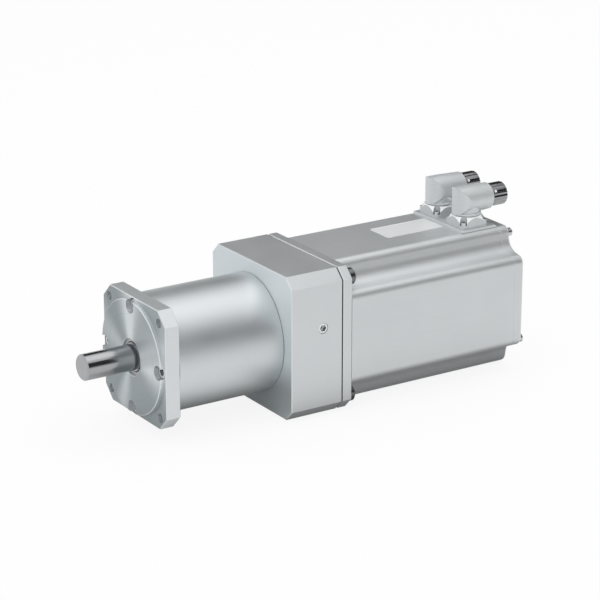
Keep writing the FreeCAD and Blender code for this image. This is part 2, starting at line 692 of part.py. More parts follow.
def sun_shaft():
    sun_front = X_WINDOW - SUN_OVERHANG
    sun_back = X_PLANET - PLANET_W - SUN_OVERHANG
    root_r = MODULE * (SUN_TEETH / 2 - DEDENDUM)
    journal_r = IN_BEARING_BORE / 2 - SEAT_CLEARANCE
    shoulder_r = journal_r + ADAPTER_LIP
    hub_r = MOTOR_SHAFT_D / 2 + HUB_WALL
    hub_l = X_HUB - X_CLAMP_END
    teeth = spur_gear(SUN_TEETH, math.radians(PLANET_ANGLES[0]), sun_front, sun_back)
    body = turned([(sun_back, 0), (sun_back, root_r), (X_ADAPTER, root_r), (X_ADAPTER, shoulder_r),
                   (X_IN_BEARING, shoulder_r), (X_IN_BEARING, journal_r), (X_CAVITY, journal_r),
                   (X_CAVITY, shoulder_r), (X_HUB, shoulder_r), (X_HUB, hub_r),
                   (X_CLAMP_END, hub_r), (X_CLAMP_END, 0)])
    bore = disc(X_MOTOR_SHAFT + HUB_WALL, X_CLAMP_END, MOTOR_SHAFT_D / 2 + SEAT_CLEARANCE)
    slots = []
    for index in range(HUB_SLOTS):
        slot = Part.makeBox(hub_l, HUB_SLOT, 2 * hub_r)
        slot.translate(FreeCAD.Vector(X_CLAMP_END, -HUB_SLOT / 2, 0))
        slot.rotate(ORIGIN, ALONG, 360.0 * index / HUB_SLOTS + 45)
        slots.append(slot)
    return cut_all(teeth.fuse(body), [bore] + slots)


def clamp_ring():
    x_front = X_ACCESS + CLAMP_RING_W / 2
    inner_r = MOTOR_SHAFT_D / 2 + HUB_WALL + SEAT_CLEARANCE
    body = ring(x_front, x_front - CLAMP_RING_W, CLAMP_RING_D / 2, inner_r)
    slit = Part.makeBox(CLAMP_RING_W, CLAMP_SLIT, CLAMP_RING_D)
    slit.translate(FreeCAD.Vector(x_front - CLAMP_RING_W, -CLAMP_SLIT / 2, 0))
    seat = clamp_screw_seat()
    pocket = Part.makeCylinder((head_d(CLAMP_SCREW) + COUNTERBORE_EXTRA) / 2, CLAMP_RING_D,
                               FreeCAD.Vector(X_ACCESS, seat, ACCESS_OFFSET), SIDE)
    hole = Part.makeCylinder(CLAMP_SCREW / 2 + SEAT_CLEARANCE, CLAMP_RING_D,
                             FreeCAD.Vector(X_ACCESS, -CLAMP_RING_D / 2, ACCESS_OFFSET), SIDE)
    return cut_all(body, [slit, pocket, hole])


def clamp_screw_seat():
    """Distance of the clamp screw's seat from the middle plane."""
    return CLAMP_SCREW_L / 2 - CLAMP_SLIT


def clamp_screw():
    screw = socket_screw(CLAMP_SCREW, CLAMP_SCREW_L)
    return placed(screw, X_ACCESS, clamp_screw_seat(), ACCESS_OFFSET, UPWARD, 90)


def input_bearing():
    outer, inner, rollers = roller_bearing(X_IN_BEARING, IN_BEARING_W, IN_BEARING_BORE, IN_BEARING_OD,
                                           IN_ROLLERS)
    return outer, inner, group(rollers)


def housing_gasket():
    gasket = ring(X_HOUSING_END, X_ADAPTER, GEAR_SIDE / 2 - GASKET_T, HUB_D / 2)
    holes = [disc(X_HOUSING_END, X_ADAPTER, (ADAPTER_SCREW + COUNTERBORE_EXTRA) / 2, y, z)
             for y, z in adapter_screw_spots()]
    return cut_all(gasket, holes)


def adapter_screw_spots():
    step = 360.0 / ADAPTER_SCREWS
    return around(ADAPTER_SCREW_PCD / 2, [step * index for index in range(ADAPTER_SCREWS)])


def adapter_housing():
    x_seam = X_MOTOR + SEAM_GAP
    body = prism(chamfered_square(DRIVE_SIDE, ADAPTER_CORNER), X_ADAPTER, x_seam)
    body = broken_edges(body, X_ADAPTER, EDGE_BREAK)
    body = broken_edges(body, x_seam, EDGE_BREAK)
    land = prism(chamfered_square(DRIVE_SIDE - 2 * SEAM_DEPTH, ADAPTER_CORNER), X_ADAPTER, X_MOTOR)
    body = body.fuse(land).removeSplitter()
    lip_r = IN_BEARING_BORE / 2 + 2 * ADAPTER_LIP
    tools = [disc(X_CAVITY, X_MOTOR, ADAPTER_CAVITY_D / 2),
             disc(X_IN_BEARING, X_MOTOR, IN_BEARING_OD / 2 + SEAT_CLEARANCE),
             disc(X_ADAPTER, X_MOTOR, lip_r),
             disc(X_MOTOR + MOTOR_PILOT_H + FACE_CLEARANCE, X_MOTOR, MOTOR_PILOT_D / 2 + SEAT_CLEARANCE)]
    for y, z in adapter_screw_spots():
        tools.append(disc(X_ADAPTER, X_CAVITY, (ADAPTER_SCREW + COUNTERBORE_EXTRA) / 2, y, z))
    for y, z in four_corners(MOTOR_SCREW_CORNER):
        depth = MOTOR_SCREW_GRIP + MOTOR_SCREW / 4
        tools.append(disc(X_MOTOR + depth, X_MOTOR, MOTOR_SCREW / 2 + SEAT_CLEARANCE, y, z))
    access = Part.makeCylinder(PLUG_D / 2 + SEAT_CLEARANCE, DRIVE_SIDE / 2,
                               FreeCAD.Vector(X_ACCESS, 0, ACCESS_OFFSET), SIDE)
    return cut_all(body, tools + [access])


def adapter_screws():
    screw = socket_screw(ADAPTER_SCREW, X_ADAPTER - X_CAVITY + GASKET_T + ADAPTER_SCREW_GRIP)
    return group([placed(screw, X_CAVITY, y, z, UPWARD, 180) for y, z in adapter_screw_spots()])


def access_plug():
    profile = [(-PLUG_L, 0), (-PLUG_L, PLUG_D / 2), (-EDGE_BREAK, PLUG_D / 2),
               (0, PLUG_D / 2 - EDGE_BREAK), (0, 0)]
    plug = turned(profile).cut(hexagon(PLUG_SOCKET, PLUG_L, -PLUG_L * SOCKET_DEPTH_SHARE))
    return placed(plug, X_ACCESS, DRIVE_SIDE / 2 - PLUG_RECESS, ACCESS_OFFSET, UPWARD, 90)


def motor_flange():
    plate = prism(chamfered_square(DRIVE_SIDE, ADAPTER_CORNER), X_MOTOR, X_BODY)
    plate = broken_edges(plate, X_MOTOR, EDGE_BREAK)
    plate = broken_edges(plate, X_BODY, EDGE_BREAK)
    pilot = disc(X_MOTOR + MOTOR_PILOT_H, X_MOTOR, MOTOR_PILOT_D / 2)
    spigot = disc(X_BODY, X_BODY - SPIGOT_L, MOTOR_BORE_D / 2 - SEAT_CLEARANCE)
    hub = disc(X_BODY, X_BEARING_HUB, MOTOR_BEARING_OD / 2 + BEARING_HUB_WALL)
    hollow = ring(X_BODY, X_BODY - SPIGOT_L, MOTOR_BORE_D / 2 - BEARING_HUB_WALL,
                  MOTOR_BEARING_OD / 2 + BEARING_HUB_WALL)
    tools = [disc(X_MOTOR + MOTOR_PILOT_H, X_MOTOR_BEARING_1, MOTOR_SEAL_OD / 2 + SEAT_CLEARANCE),
             disc(X_MOTOR_BEARING_1, X_BEARING_HUB, MOTOR_BEARING_OD / 2 + SEAT_CLEARANCE), hollow]
    for y, z in four_corners(MOTOR_SCREW_CORNER):
        tools.append(disc(X_MOTOR, X_BODY, (MOTOR_SCREW + COUNTERBORE_EXTRA) / 2, y, z))
    pocket_r = (head_d(END_SCREW) + COUNTERBORE_EXTRA) / 2
    for y, z in end_screw_spots():
        tools.append(disc(X_MOTOR + MOTOR_PILOT_H, shield_screw_seat(), pocket_r, y, z))
        tools.append(disc(X_MOTOR, X_BODY, (END_SCREW + COUNTERBORE_EXTRA) / 2, y, z))
    return cut_all(plate.fuse([pilot, spigot, hub]).removeSplitter(), tools)


def shield_screw_seat():
    """Station of the end shield screws' seats, below the flange's front face."""
    return X_MOTOR - END_SCREW - FACE_CLEARANCE


def motor_screws():
    screw = socket_screw(MOTOR_SCREW, MOTOR_FLANGE_T + MOTOR_SCREW_GRIP, LOW_HEAD)
    spots = four_corners(MOTOR_SCREW_CORNER)
    return group([placed(screw, X_BODY, y, z, UPWARD, 180) for y, z in spots])


def shield_screws():
    x_seat = shield_screw_seat()
    screw = socket_screw(END_SCREW, x_seat - X_BODY + END_SCREW_GRIP)
    return group([placed(screw, x_seat, y, z) for y, z in end_screw_spots()])


def motor_seal():
    shaft_r = MOTOR_BEARING_BORE / 2
    return ring(X_MOTOR, X_MOTOR - MOTOR_SEAL_W, MOTOR_SEAL_OD / 2, shaft_r + RUN_CLEARANCE)


def motor_shaft():
    journal_r = MOTOR_BEARING_BORE / 2 - SEAT_CLEARANCE
    shoulder_r = MOTOR_BEARING_BORE / 2 + ADAPTER_LIP
    seat_r = ROTOR_SEAT_D / 2
    x_rear_journal = X_MOTOR_BEARING_2 - MOTOR_BEARING_W
    resolver_r = RESOLVER_SEAT_D / 2 - SEAT_CLEARANCE
    return turned([(X_MOTOR_SHAFT, 0), (X_MOTOR_SHAFT, MOTOR_SHAFT_D / 2), (X_MOTOR, MOTOR_SHAFT_D / 2),
                   (X_MOTOR, journal_r), (X_BEARING_HUB, journal_r), (X_BEARING_HUB, shoulder_r),
                   (X_STATOR, shoulder_r), (X_STATOR, seat_r), (X_STATOR_END, seat_r),
                   (X_STATOR_END, shoulder_r), (X_MOTOR_BEARING_2, shoulder_r),
                   (X_MOTOR_BEARING_2, journal_r), (x_rear_journal, journal_r),
                   (x_rear_journal, resolver_r), (X_RESOLVER - RESOLVER_W, resolver_r),
                   (X_RESOLVER - RESOLVER_W, 0)])


def rotor_core_radius():
    """Radius of the rotor core, under the magnets."""
    return STATOR_BORE_D / 2 - AIR_GAP - MAGNET_T


def rotor_core():
    return ring(X_STATOR, X_STATOR_END, rotor_core_radius(), ROTOR_SEAT_D / 2 + SEAT_CLEARANCE)


def rotor_magnets():
    inner_r = rotor_core_radius() + SEAT_CLEARANCE
    profile = Part.makePolygon([FreeCAD.Vector(X_STATOR, 0, inner_r),
                                FreeCAD.Vector(X_STATOR, 0, inner_r + MAGNET_T),
                                FreeCAD.Vector(X_STATOR_END, 0, inner_r + MAGNET_T),
                                FreeCAD.Vector(X_STATOR_END, 0, inner_r),
                                FreeCAD.Vector(X_STATOR, 0, inner_r)])
    magnet = Part.Face(profile).revolve(ORIGIN, ALONG, MAGNET_ARC)
    return group([placed(magnet, 0, 0, 0, ALONG, 360.0 * index / MAGNETS) for index in range(MAGNETS)])


def motor_bearings():
    fits = (MOTOR_BEARING_W, MOTOR_BEARING_BORE, MOTOR_BEARING_OD, MOTOR_ROLLERS)
    front = roller_bearing(X_MOTOR_BEARING_1, *fits)
    rear = roller_bearing(X_MOTOR_BEARING_2, *fits)
    return group([front[0], rear[0]]), group([front[1], rear[1]]), group(front[2] + rear[2])


def motor_housing():
    body = prism(motor_outline(), X_BODY, X_COVER)
    tools = [disc(X_BODY, X_COVER, MOTOR_BORE_D / 2)]
    depth = END_SCREW_GRIP + END_SCREW / 4
    thread_r = END_SCREW / 2 + SEAT_CLEARANCE
    for y, z in end_screw_spots():
        tools.append(disc(X_BODY, X_BODY - depth, thread_r, y, z))
        tools.append(disc(X_COVER + depth, X_COVER, thread_r, y, z))
    for y in CONNECTOR_SIDES.values():
        tools.append(upright(X_CONNECTOR, y, 0, MOTOR_HALF, WIRE_HOLE_D / 2))
        for screw_x, screw_y in base_screw_spots(y):
            tools.append(upright(screw_x, screw_y, MOTOR_HALF - BASE_SCREW_GRIP - BASE_SCREW / 4, MOTOR_HALF,
                                 BASE_SCREW / 2 + SEAT_CLEARANCE))
    return cut_all(body, tools)


def stator_core():
    outer_r = MOTOR_BORE_D / 2 - SEAT_CLEARANCE
    body = ring(X_STATOR, X_STATOR_END, outer_r, STATOR_BORE_D / 2)
    slot_front = X_STATOR + STATOR_END_SHEET
    slot_back = X_STATOR_END - STATOR_END_SHEET
    bottom_r = outer_r - STATOR_YOKE
    shoe_r = STATOR_BORE_D / 2 + STATOR_SHOE
    pitch = 2 * math.pi / STATOR_SLOTS
    slots = []
    for index in range(STATOR_SLOTS):
        slot = prism(slot_outline(shoe_r, bottom_r, pitch), slot_front, slot_back)
        mouth = Part.makeBox(slot_front - slot_back, STATOR_SLOT_MOUTH, shoe_r)
        mouth.translate(FreeCAD.Vector(slot_back, -STATOR_SLOT_MOUTH / 2, STATOR_SHOE))
        for tool in (slot, mouth):
            tool.rotate(ORIGIN, ALONG, 360.0 * (index + 0.5) / STATOR_SLOTS)
            slots.append(tool)
    return cut_all(body, slots)


def slot_outline(inner_r, outer_r, pitch):
    """Slot between two parallel-sided stator teeth, centred on +Z, as sharp (y, z, r) points."""
    points = []
    for radius in (inner_r, outer_r):
        half = radius * math.tan(pitch / 2) - STATOR_TOOTH_W / 2 / math.cos(pitch / 2)
        points.append((half, radius, 0))
    (inner_half, inner_z, _), (outer_half, outer_z, _) = points
    return [(inner_half, inner_z, 0), (outer_half, outer_z, 0),
            (-outer_half, outer_z, 0), (-inner_half, inner_z, 0)]


def stator_windings():
    """One coil round each stator tooth."""
    inner_z = STATOR_BORE_D / 2 + STATOR_SHOE + COIL_CLEAR
    outer_z = MOTOR_BORE_D / 2 - STATOR_YOKE - 3 * COIL_CLEAR
    half_tooth = STATOR_TOOTH_W / 2 + COIL_CLEAR
    pitch = math.pi / STATOR_SLOTS
    half_coil = inner_z * math.tan(pitch) - COIL_CLEAR
    height = outer_z - inner_z
    hang = COIL_HANG + COIL_CLEAR
    block = Part.makeBox(STATOR_L + 2 * hang, 2 * half_coil, height)
    block.translate(FreeCAD.Vector(X_STATOR_END - hang, -half_coil, inner_z))
    window = Part.makeBox(STATOR_L + 2 * COIL_CLEAR, 2 * half_tooth, height)
    window.translate(FreeCAD.Vector(X_STATOR_END - COIL_CLEAR, -half_tooth, inner_z))
    coil = block.cut(window)
    upright_edges = [edge for edge in coil.Edges if abs(edge.BoundBox.ZLength - height) < 1e-6]
    outer_edges = [edge for edge in upright_edges if abs(abs(edge.CenterOfMass.y) - half_coil) < 1e-6]
    coil = coil.makeChamfer(half_coil - half_tooth, outer_edges)
    return group([placed(coil, 0, 0, 0, ALONG, 360.0 * index / STATOR_SLOTS)
                  for index in range(STATOR_SLOTS)])


def rear_shield():
    rim_r = MOTOR_BORE_D / 2 - SEAT_CLEARANCE
    bearing_r = MOTOR_BEARING_OD / 2 + SEAT_CLEARANCE
    hub_r = bearing_r + BEARING_HUB_WALL
    web = X_REAR_SHIELD - RESOLVER_GAP + BEARING_HUB_WALL
    lip_r = RESOLVER_OD / 2 - BEARING_HUB_WALL
    return turned([(X_MOTOR_BEARING_2, bearing_r), (X_MOTOR_BEARING_2, hub_r), (web, hub_r),
                   (web, rim_r - BEARING_HUB_WALL), (X_MOTOR_BEARING_2, rim_r - BEARING_HUB_WALL),
                   (X_MOTOR_BEARING_2, rim_r), (X_RESOLVER, rim_r), (X_RESOLVER, lip_r),
                   (X_REAR_SHIELD, lip_r), (X_REAR_SHIELD, bearing_r)])


def preload_washer():
    x_front = X_MOTOR_BEARING_2 - MOTOR_BEARING_W
    return ring(x_front, x_front - PRELOAD_T, MOTOR_BEARING_OD / 2, MOTOR_BEARING_OD / 2 - BEARING_HUB_WALL)


def resolver_stator():
    return ring(X_RESOLVER, X_RESOLVER - RESOLVER_W, RESOLVER_OD / 2, RESOLVER_BORE_D / 2)


def resolver_rotor():
    return ring(X_RESOLVER, X_RESOLVER - RESOLVER_W, RESOLVER_BORE_D / 2 - AIR_GAP, RESOLVER_SEAT_D / 2)


def rear_cover():
    body = prism(motor_outline(), X_COVER, X_END)
    body = body.makeFillet(REAR_COVER_ROUND, edges_at(body, X_END))
    body = broken_edges(body, X_COVER, REAR_SEAM)
    tools = [disc(X_COVER, X_COVER - REAR_COVER_HOLLOW, REAR_COVER_HOLLOW_D / 2)]
    x_seat = X_END + SPOT_FACE
    for y, z in end_screw_spots():
        tools.append(disc(X_COVER, X_END, (END_SCREW + COUNTERBORE_EXTRA) / 2, y, z))
        tools.append(disc(x_seat, X_END, (head_d(END_SCREW) + COUNTERBORE_EXTRA) / 2, y, z))
    return cut_all(body, tools)


def cover_screws():
    x_seat = X_END + SPOT_FACE
    screw = socket_screw(END_SCREW, X_COVER - x_seat + END_SCREW_GRIP)
    return group([placed(screw, x_seat, y, z, UPWARD, 180) for y, z in end_screw_spots()])


def upright(x, y, z_bottom, z_top, radius):
    """Cylinder along Z between two heights."""
    return Part.makeCylinder(radius, z_top - z_bottom, FreeCAD.Vector(x, y, z_bottom), UPWARD)


def base_screw_spots(y):
    """Points (x, y) of one connector base's four screws."""
    half = BASE_SCREW_PITCH / 2
    return [(X_CONNECTOR + dx, y + dy) for dx, dy in four_corners(half)]


def connector_plate():
    length = PLATE_FRONT_MARGIN + BASE_SIDE + PLATE_REAR_MARGIN
    width = CONNECTOR_PITCH + BASE_SIDE + 2 * PLATE_SIDE_MARGIN
    plate = Part.makeBox(length, width, PLATE_T)
    x_back = X_CONNECTOR - BASE_SIDE / 2 - PLATE_REAR_MARGIN
    plate.translate(FreeCAD.Vector(x_back, -width / 2, MOTOR_HALF))
    top_edges = [edge for edge in plate.Edges if abs(edge.BoundBox.ZMin - Z_PLATE) < 1e-6]
    plate = plate.makeChamfer(EDGE_BREAK, top_edges)
    tools = []
    for y in CONNECTOR_SIDES.values():
        tools.append(upright(X_CONNECTOR, y, MOTOR_HALF, Z_PLATE, WIRE_HOLE_D / 2))
        for screw_x, screw_y in base_screw_spots(y):
            tools.append(upright(screw_x, screw_y, MOTOR_HALF, Z_PLATE, BASE_SCREW / 2 + SEAT_CLEARANCE))
    return cut_all(plate, tools)


def connector_base(y):
    """Square base with a coned crown and a scooped pocket for the screw at each corner."""
    block = Part.makeBox(BASE_SIDE, BASE_SIDE, BASE_H)
    block.translate(FreeCAD.Vector(X_CONNECTOR - BASE_SIDE / 2, y - BASE_SIDE / 2, Z_PLATE))
    corners = [edge for edge in block.Edges if abs(edge.BoundBox.ZLength - BASE_H) < 1e-6]
    block = block.makeFillet(BASE_CORNER_R, corners)
    crown_r = BASE_SIDE / 2 - BASE_CROWN_EDGE
    foot_r = crown_r + BASE_H / math.tan(math.radians(BASE_CROWN_ANGLE))
    block = block.common(Part.makeCone(foot_r, crown_r, BASE_H, FreeCAD.Vector(X_CONNECTOR, y, Z_PLATE)))
    tools = [upright(X_CONNECTOR, y, Z_PLATE, Z_BASE, SWIVEL_D / 2 + RUN_CLEARANCE)]
    ledge = Z_PLATE + BASE_LEDGE
    pocket_r = POCKET_D / 2
    for screw_x, screw_y in base_screw_spots(y):
        tools.append(upright(screw_x, screw_y, Z_PLATE, Z_BASE, BASE_SCREW / 2 + SEAT_CLEARANCE))
        tools.append(upright(screw_x, screw_y, ledge, Z_BASE, pocket_r))
        open_corner = Part.makeBox(BASE_SIDE, 2 * pocket_r, BASE_H)
        open_corner.translate(FreeCAD.Vector(0, -pocket_r, 0))
        outward = math.degrees(math.atan2(screw_y - y, screw_x - X_CONNECTOR))
        tools.append(placed(open_corner, screw_x, screw_y, ledge, UPWARD, outward))
    return cut_all(block, tools)


def connector_screws():
    screw = socket_screw(BASE_SCREW, BASE_LEDGE + PLATE_T + BASE_SCREW_GRIP)
    screws = []
    for y in CONNECTOR_SIDES.values():
        for screw_x, screw_y in base_screw_spots(y):
            screws.append(placed(screw, screw_x, screw_y, Z_PLATE + BASE_LEDGE, SIDE, -90))
    return group(screws)


def connector_body(y):
    """Angled swivel body: collar and neck on the base, tapered barrel towards the rear."""
    z_collar_top = Z_COLLAR + COLLAR_H
    collar_r = COLLAR_D / 2
    collar = upright(X_CONNECTOR, y, Z_COLLAR, z_collar_top, collar_r)
    rims = [edge for edge in collar.Edges if edge.Closed]
    collar = collar.makeChamfer(COLLAR_CHAMFER, rims)
    neck = upright(X_CONNECTOR, y, Z_COLLAR, Z_BARREL, NECK_D / 2)
    spigot = upright(X_CONNECTOR, y, Z_BASE - SWIVEL_SPIGOT, Z_COLLAR, SWIVEL_D / 2)
    barrel_end = -BARREL_REACH
    barrel_r = BARREL_FRONT_D / 2
    front_r = barrel_r + BARREL_FRONT_STEP
    barrel = turned([(front_r, 0), (front_r, barrel_r), (0, barrel_r),
                     (barrel_end + BARREL_EDGE, BARREL_REAR_D / 2),
                     (barrel_end, BARREL_REAR_D / 2 - BARREL_EDGE), (barrel_end, 0)])
    rounded = Part.makeCylinder(front_r, BARREL_FRONT_D, FreeCAD.Vector(0, 0, -barrel_r))
    behind = Part.makeBox(NOSE_REACH, BARREL_FRONT_D, BARREL_FRONT_D)
    behind.translate(FreeCAD.Vector(-NOSE_REACH, -barrel_r, -barrel_r))
    barrel = barrel.common(rounded.fuse(behind))
    nose = disc(barrel_end, -NOSE_REACH, NOSE_D / 2)
    socket = disc(-NOSE_REACH + SOCKET_DEPTH, -NOSE_REACH, SOCKET_D / 2)
    head = placed(barrel.fuse(nose).cut(socket), X_CONNECTOR, y, Z_BARREL)
    wires = upright(X_CONNECTOR, y, Z_BASE - SWIVEL_SPIGOT, Z_COLLAR, WIRE_HOLE_D / 2)
    return head.fuse([neck, collar, spigot]).removeSplitter().cut(wires)


def connector_insert(y):
    """Insulating disc at the bottom of the socket."""
    x_back = X_CONNECTOR - NOSE_REACH + SOCKET_DEPTH - INSERT_T
    insert = disc(x_back + INSERT_T, x_back, SOCKET_D / 2 - SEAT_CLEARANCE, y, Z_BARREL)
    holes = [disc(x_back + INSERT_T, x_back, CONTACT_D / 2 + SEAT_CLEARANCE, y + dy, Z_BARREL + dz)
             for dy, dz in contact_spots()]
    return cut_all(insert, holes)


def contact_spots():
    """Points of the contacts about the socket's axis: a circle with one in the middle."""
    step = 360.0 / CONTACT_PINS
    circle_r = PIN_CIRCLE_SHARE * SOCKET_D / 2
    return [(0.0, 0.0)] + around(circle_r, [step * index for index in range(CONTACT_PINS)])


def connector_contacts(y):
    x_front = X_CONNECTOR - NOSE_REACH + SOCKET_DEPTH
    return group([disc(x_front, x_front - INSERT_T - CONTACT_L, CONTACT_D / 2, y + dy, Z_BARREL + dz)
                  for dy, dz in contact_spots()])


def connector_ring(y):
    """Fluted coupling ring that turns on the barrel's nose."""
    x_back = X_CONNECTOR - NOSE_REACH
    outline = []
    for index in range(2 * RING_FLUTES):
        angle = math.pi * index / RING_FLUTES
        radius = RING_D / 2 - RING_FLUTE * (index % 2)
        outline.append((y + radius * math.cos(angle), Z_BARREL + radius * math.sin(angle), 0))
    body = prism(outline, x_back + RING_L, x_back)
    bore = disc(x_back + RING_L, x_back, NOSE_D / 2 + RUN_CLEARANCE, y, Z_BARREL)
    return body.cut(bore)


def all_nodes():
    """Every node's name and shape."""
    nodes = {
        "output_flange": output_flange(),
        "flange_screws": flange_screws(),
        "shaft_seal": shaft_seal(),
        "output_shaft": output_shaft(),
        "bearing_circlip": bearing_circlip(),
        "ring_gear_housing": ring_gear_housing(),
        "planet_pins": planet_pins(),
        "planet_washers": planet_washers(),
        "sun_shaft": sun_shaft(),
        "clamp_ring": clamp_ring(),
        "clamp_screw": clamp_screw(),
        "housing_gasket": housing_gasket(),
        "adapter_housing": adapter_housing(),
        "adapter_screws": adapter_screws(),
        "access_plug": access_plug(),
        "motor_flange": motor_flange(),
        "motor_flange_screws": motor_screws(),
        "end_shield_screws": shield_screws(),
        "motor_shaft_seal": motor_seal(),
        "motor_shaft": motor_shaft(),
        "rotor_core": rotor_core(),
        "rotor_magnets": rotor_magnets(),
        "motor_housing": motor_housing(),
        "stator_core": stator_core(),
        "stator_windings": stator_windings(),
        "rear_bearing_shield": rear_shield(),
        "preload_washer": preload_washer(),
        "resolver_stator": resolver_stator(),
        "resolver_rotor": resolver_rotor(),
        "rear_cover": rear_cover(),
        "rear_cover_screws": cover_screws(),
        "connector_plate": connector_plate(),
        "connector_bases": group([connector_base(y) for y in CONNECTOR_SIDES.values()]),
        "connector_base_screws": connector_screws(),
    }
    names = ("output_bearing_outer_rings", "output_bearing_inner_rings", "output_bearing_rollers")
    nodes.update(zip(names, output_bearings()))
    nodes.update(zip(("outer_bearing_spacer", "inner_bearing_spacer"), bearing_spacers()))
    names = ("input_bearing_outer_ring", "input_bearing_inner_ring", "input_bearing_rollers")
    nodes.update(zip(names, input_bearing()))
    names = ("motor_bearing_outer_rings", "motor_bearing_inner_rings", "motor_bearing_rollers")
    nodes.update(zip(names, motor_bearings()))
    for index in range(PLANETS):
        nodes[f"planet_gear_{index + 1}"] = planet_gear(index)
        nodes[f"planet_needles_{index + 1}"] = planet_needles(index)
    for number, y in CONNECTOR_SIDES.items():
        nodes[f"connector_body_{number}"] = connector_body(y)
        nodes[f"connector_insert_{number}"] = connector_insert(y)
        nodes[f"connector_contacts_{number}"] = connector_contacts(y)
        nodes[f"connector_ring_{number}"] = connector_ring(y)
    return nodes


os.makedirs("parts", exist_ok=True)
for name, shape in all_nodes().items():
    shape.exportStep(f"parts/{name}.step")
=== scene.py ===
"""Looks of the planetary gearmotor: finishes, some with painted light and shade, label plate, white domes
with a painted glint on the coupling rings, studio and camera.
"""
import bpy
import bmesh
import math
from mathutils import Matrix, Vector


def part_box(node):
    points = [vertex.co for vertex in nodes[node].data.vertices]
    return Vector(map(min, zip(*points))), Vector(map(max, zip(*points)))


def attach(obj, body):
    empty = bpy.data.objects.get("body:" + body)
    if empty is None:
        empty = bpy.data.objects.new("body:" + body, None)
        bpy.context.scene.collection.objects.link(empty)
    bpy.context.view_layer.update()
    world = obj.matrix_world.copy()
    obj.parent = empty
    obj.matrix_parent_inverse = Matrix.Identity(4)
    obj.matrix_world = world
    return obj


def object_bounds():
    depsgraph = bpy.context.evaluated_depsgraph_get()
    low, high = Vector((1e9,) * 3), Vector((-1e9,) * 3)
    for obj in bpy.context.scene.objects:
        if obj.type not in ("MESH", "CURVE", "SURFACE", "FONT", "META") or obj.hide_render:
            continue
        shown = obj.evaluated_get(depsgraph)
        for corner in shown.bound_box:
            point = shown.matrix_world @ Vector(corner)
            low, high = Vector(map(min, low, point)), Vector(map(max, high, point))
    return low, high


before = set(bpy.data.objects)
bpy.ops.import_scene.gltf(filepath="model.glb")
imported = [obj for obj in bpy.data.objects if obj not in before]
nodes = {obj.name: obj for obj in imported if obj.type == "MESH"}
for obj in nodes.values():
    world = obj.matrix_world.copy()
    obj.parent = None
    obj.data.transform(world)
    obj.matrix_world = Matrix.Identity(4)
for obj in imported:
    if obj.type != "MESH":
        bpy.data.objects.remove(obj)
cad_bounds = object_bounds()

# Studio, in metres
FLOOR_Z = cad_bounds[0][2]
FLOOR_DROP = 0.0002
FLOOR_MIDDLE_X = -0.2
FLOOR_SIZE = 24.0
FLOOR_SEEN = 0.87
FLOOR_MIRRORED = 0.7
FLOOR_GREY = 0.92
SOFTBOX_Z = 1.4
SOFTBOX_Y = (-0.52, 0.64)
SOFTBOX_X = (-2.0, 1.0)
SOFTBOX_LEVEL = 0.5
CARD_X = (-2.6, -0.1)
FLAG_X = (-1.7, -1.05)
CARD_LEVEL = 0.04
CARD_FADE_Z = (-0.05, 0.28)
NEAR_CARD = ((1.25, CARD_FADE_Z[0]), (0.82, 0.87))
FAR_CARD = ((-0.70, 1.02), (-1.165, 0.32))
REAR_FLAG = ((0.72, 1.0), (-0.66, 1.04))
AMBIENT = 0.9
SHADE_DROP = 0.0001
SHADE_FADE_X = (-0.04, 0.05)
CLEAR_LEVEL = 0.95
GEAR_SHADE = ((-0.125, 0.05), (0.02, 0.09), 0.12)
DRIVE_SHADE = ((-0.42, -0.125), (0.06, 0.13), 0.2)

# Camera: place, tilt from straight down and turn about Z in degrees, lens in millimetres, farthest view
CAMERA_PLACE = (1.04293, 1.89313, 0.80122)
CAMERA_TILT = 70.907
CAMERA_TURN = 147.11
LENS_MM = 149.94
SENSOR_MM = 36.0
FARTHEST = 100.0

# Label plate on the motor's top: two corners, thickness, corner radius, rim, and the step down inside the rim
MOTOR_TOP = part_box("motor_housing")[1][2]
LABEL_LOW = (-0.339, -0.0185)
LABEL_HIGH = (-0.274, 0.0134)
LABEL_T = 0.0006
LABEL_CORNER = 0.0022
LABEL_RIM = 0.0009
LABEL_STEP = (0.00025, -0.00018)
LABEL_EDGE = 0.00012

# Where a finish changes on its piece: the change comes in from the first value to the second
FACE_OUTER_R = (0.022, 0.056)
ADAPTER_FRONT_X = (-0.13, -0.125)
# Painted light on the adapter's upper front towards +Y, and painted shadow on its front below the gear
# housing
PAINTED_LIGHT_Z = (0.01, 0.05)
PAINTED_LIGHT_Y = (0.0, 0.045)
PAINTED_SHADOW_Z = (-0.012, -0.042)
SEAL_LIP_R = (0.0139, 0.0143)
PLUG_SOCKET_R = (0.0022, 0.0026)
# Painted light on the connector bases' faces that look up
PAINTED_TOP_LIGHT_UPWARD = (0.35, 0.5)

# Painted shade of the joint gap at the adapter's back: its middle, half its width, and the sides that it
# shows on
JOINT_SHADE_MIDDLE = 0.0005
JOINT_SHADE_HALF = (0.00056, 0.0006)
JOINT_SHADE_Y = (0.052, 0.058)

# White dome on each coupling ring, whose white is a painted glint: size, rounding, inset and rise of its
# crown, distance behind the ring's front, and angle about the ring's axis from +Y in degrees
GLINT_DOME_D = 0.0026
GLINT_DOME_H = 0.001
GLINT_DOME_ROUND = 0.45 * GLINT_DOME_H
GLINT_DOME_CROWN = (0.12 * GLINT_DOME_D, 0.06 * GLINT_DOME_H)
GLINT_DOME_BACK = 0.75 * GLINT_DOME_D
GLINT_DOME_ANGLE = 31.0

# Painted sheen on the faced flange: light sectors, and shaded ones at negative strength; angle about the axis
# from +Y in degrees, sharpness and strength
PAINTED_SHEEN_SECTORS = ((3, 11, 1.0), (22, 30, 0.4), (45, 2, 0.18), (92.5, 23, 1.1),
             (135, 40, -0.12), (160, 20, 0.4), (232, 40, -0.2), (250, 31, 0.65))


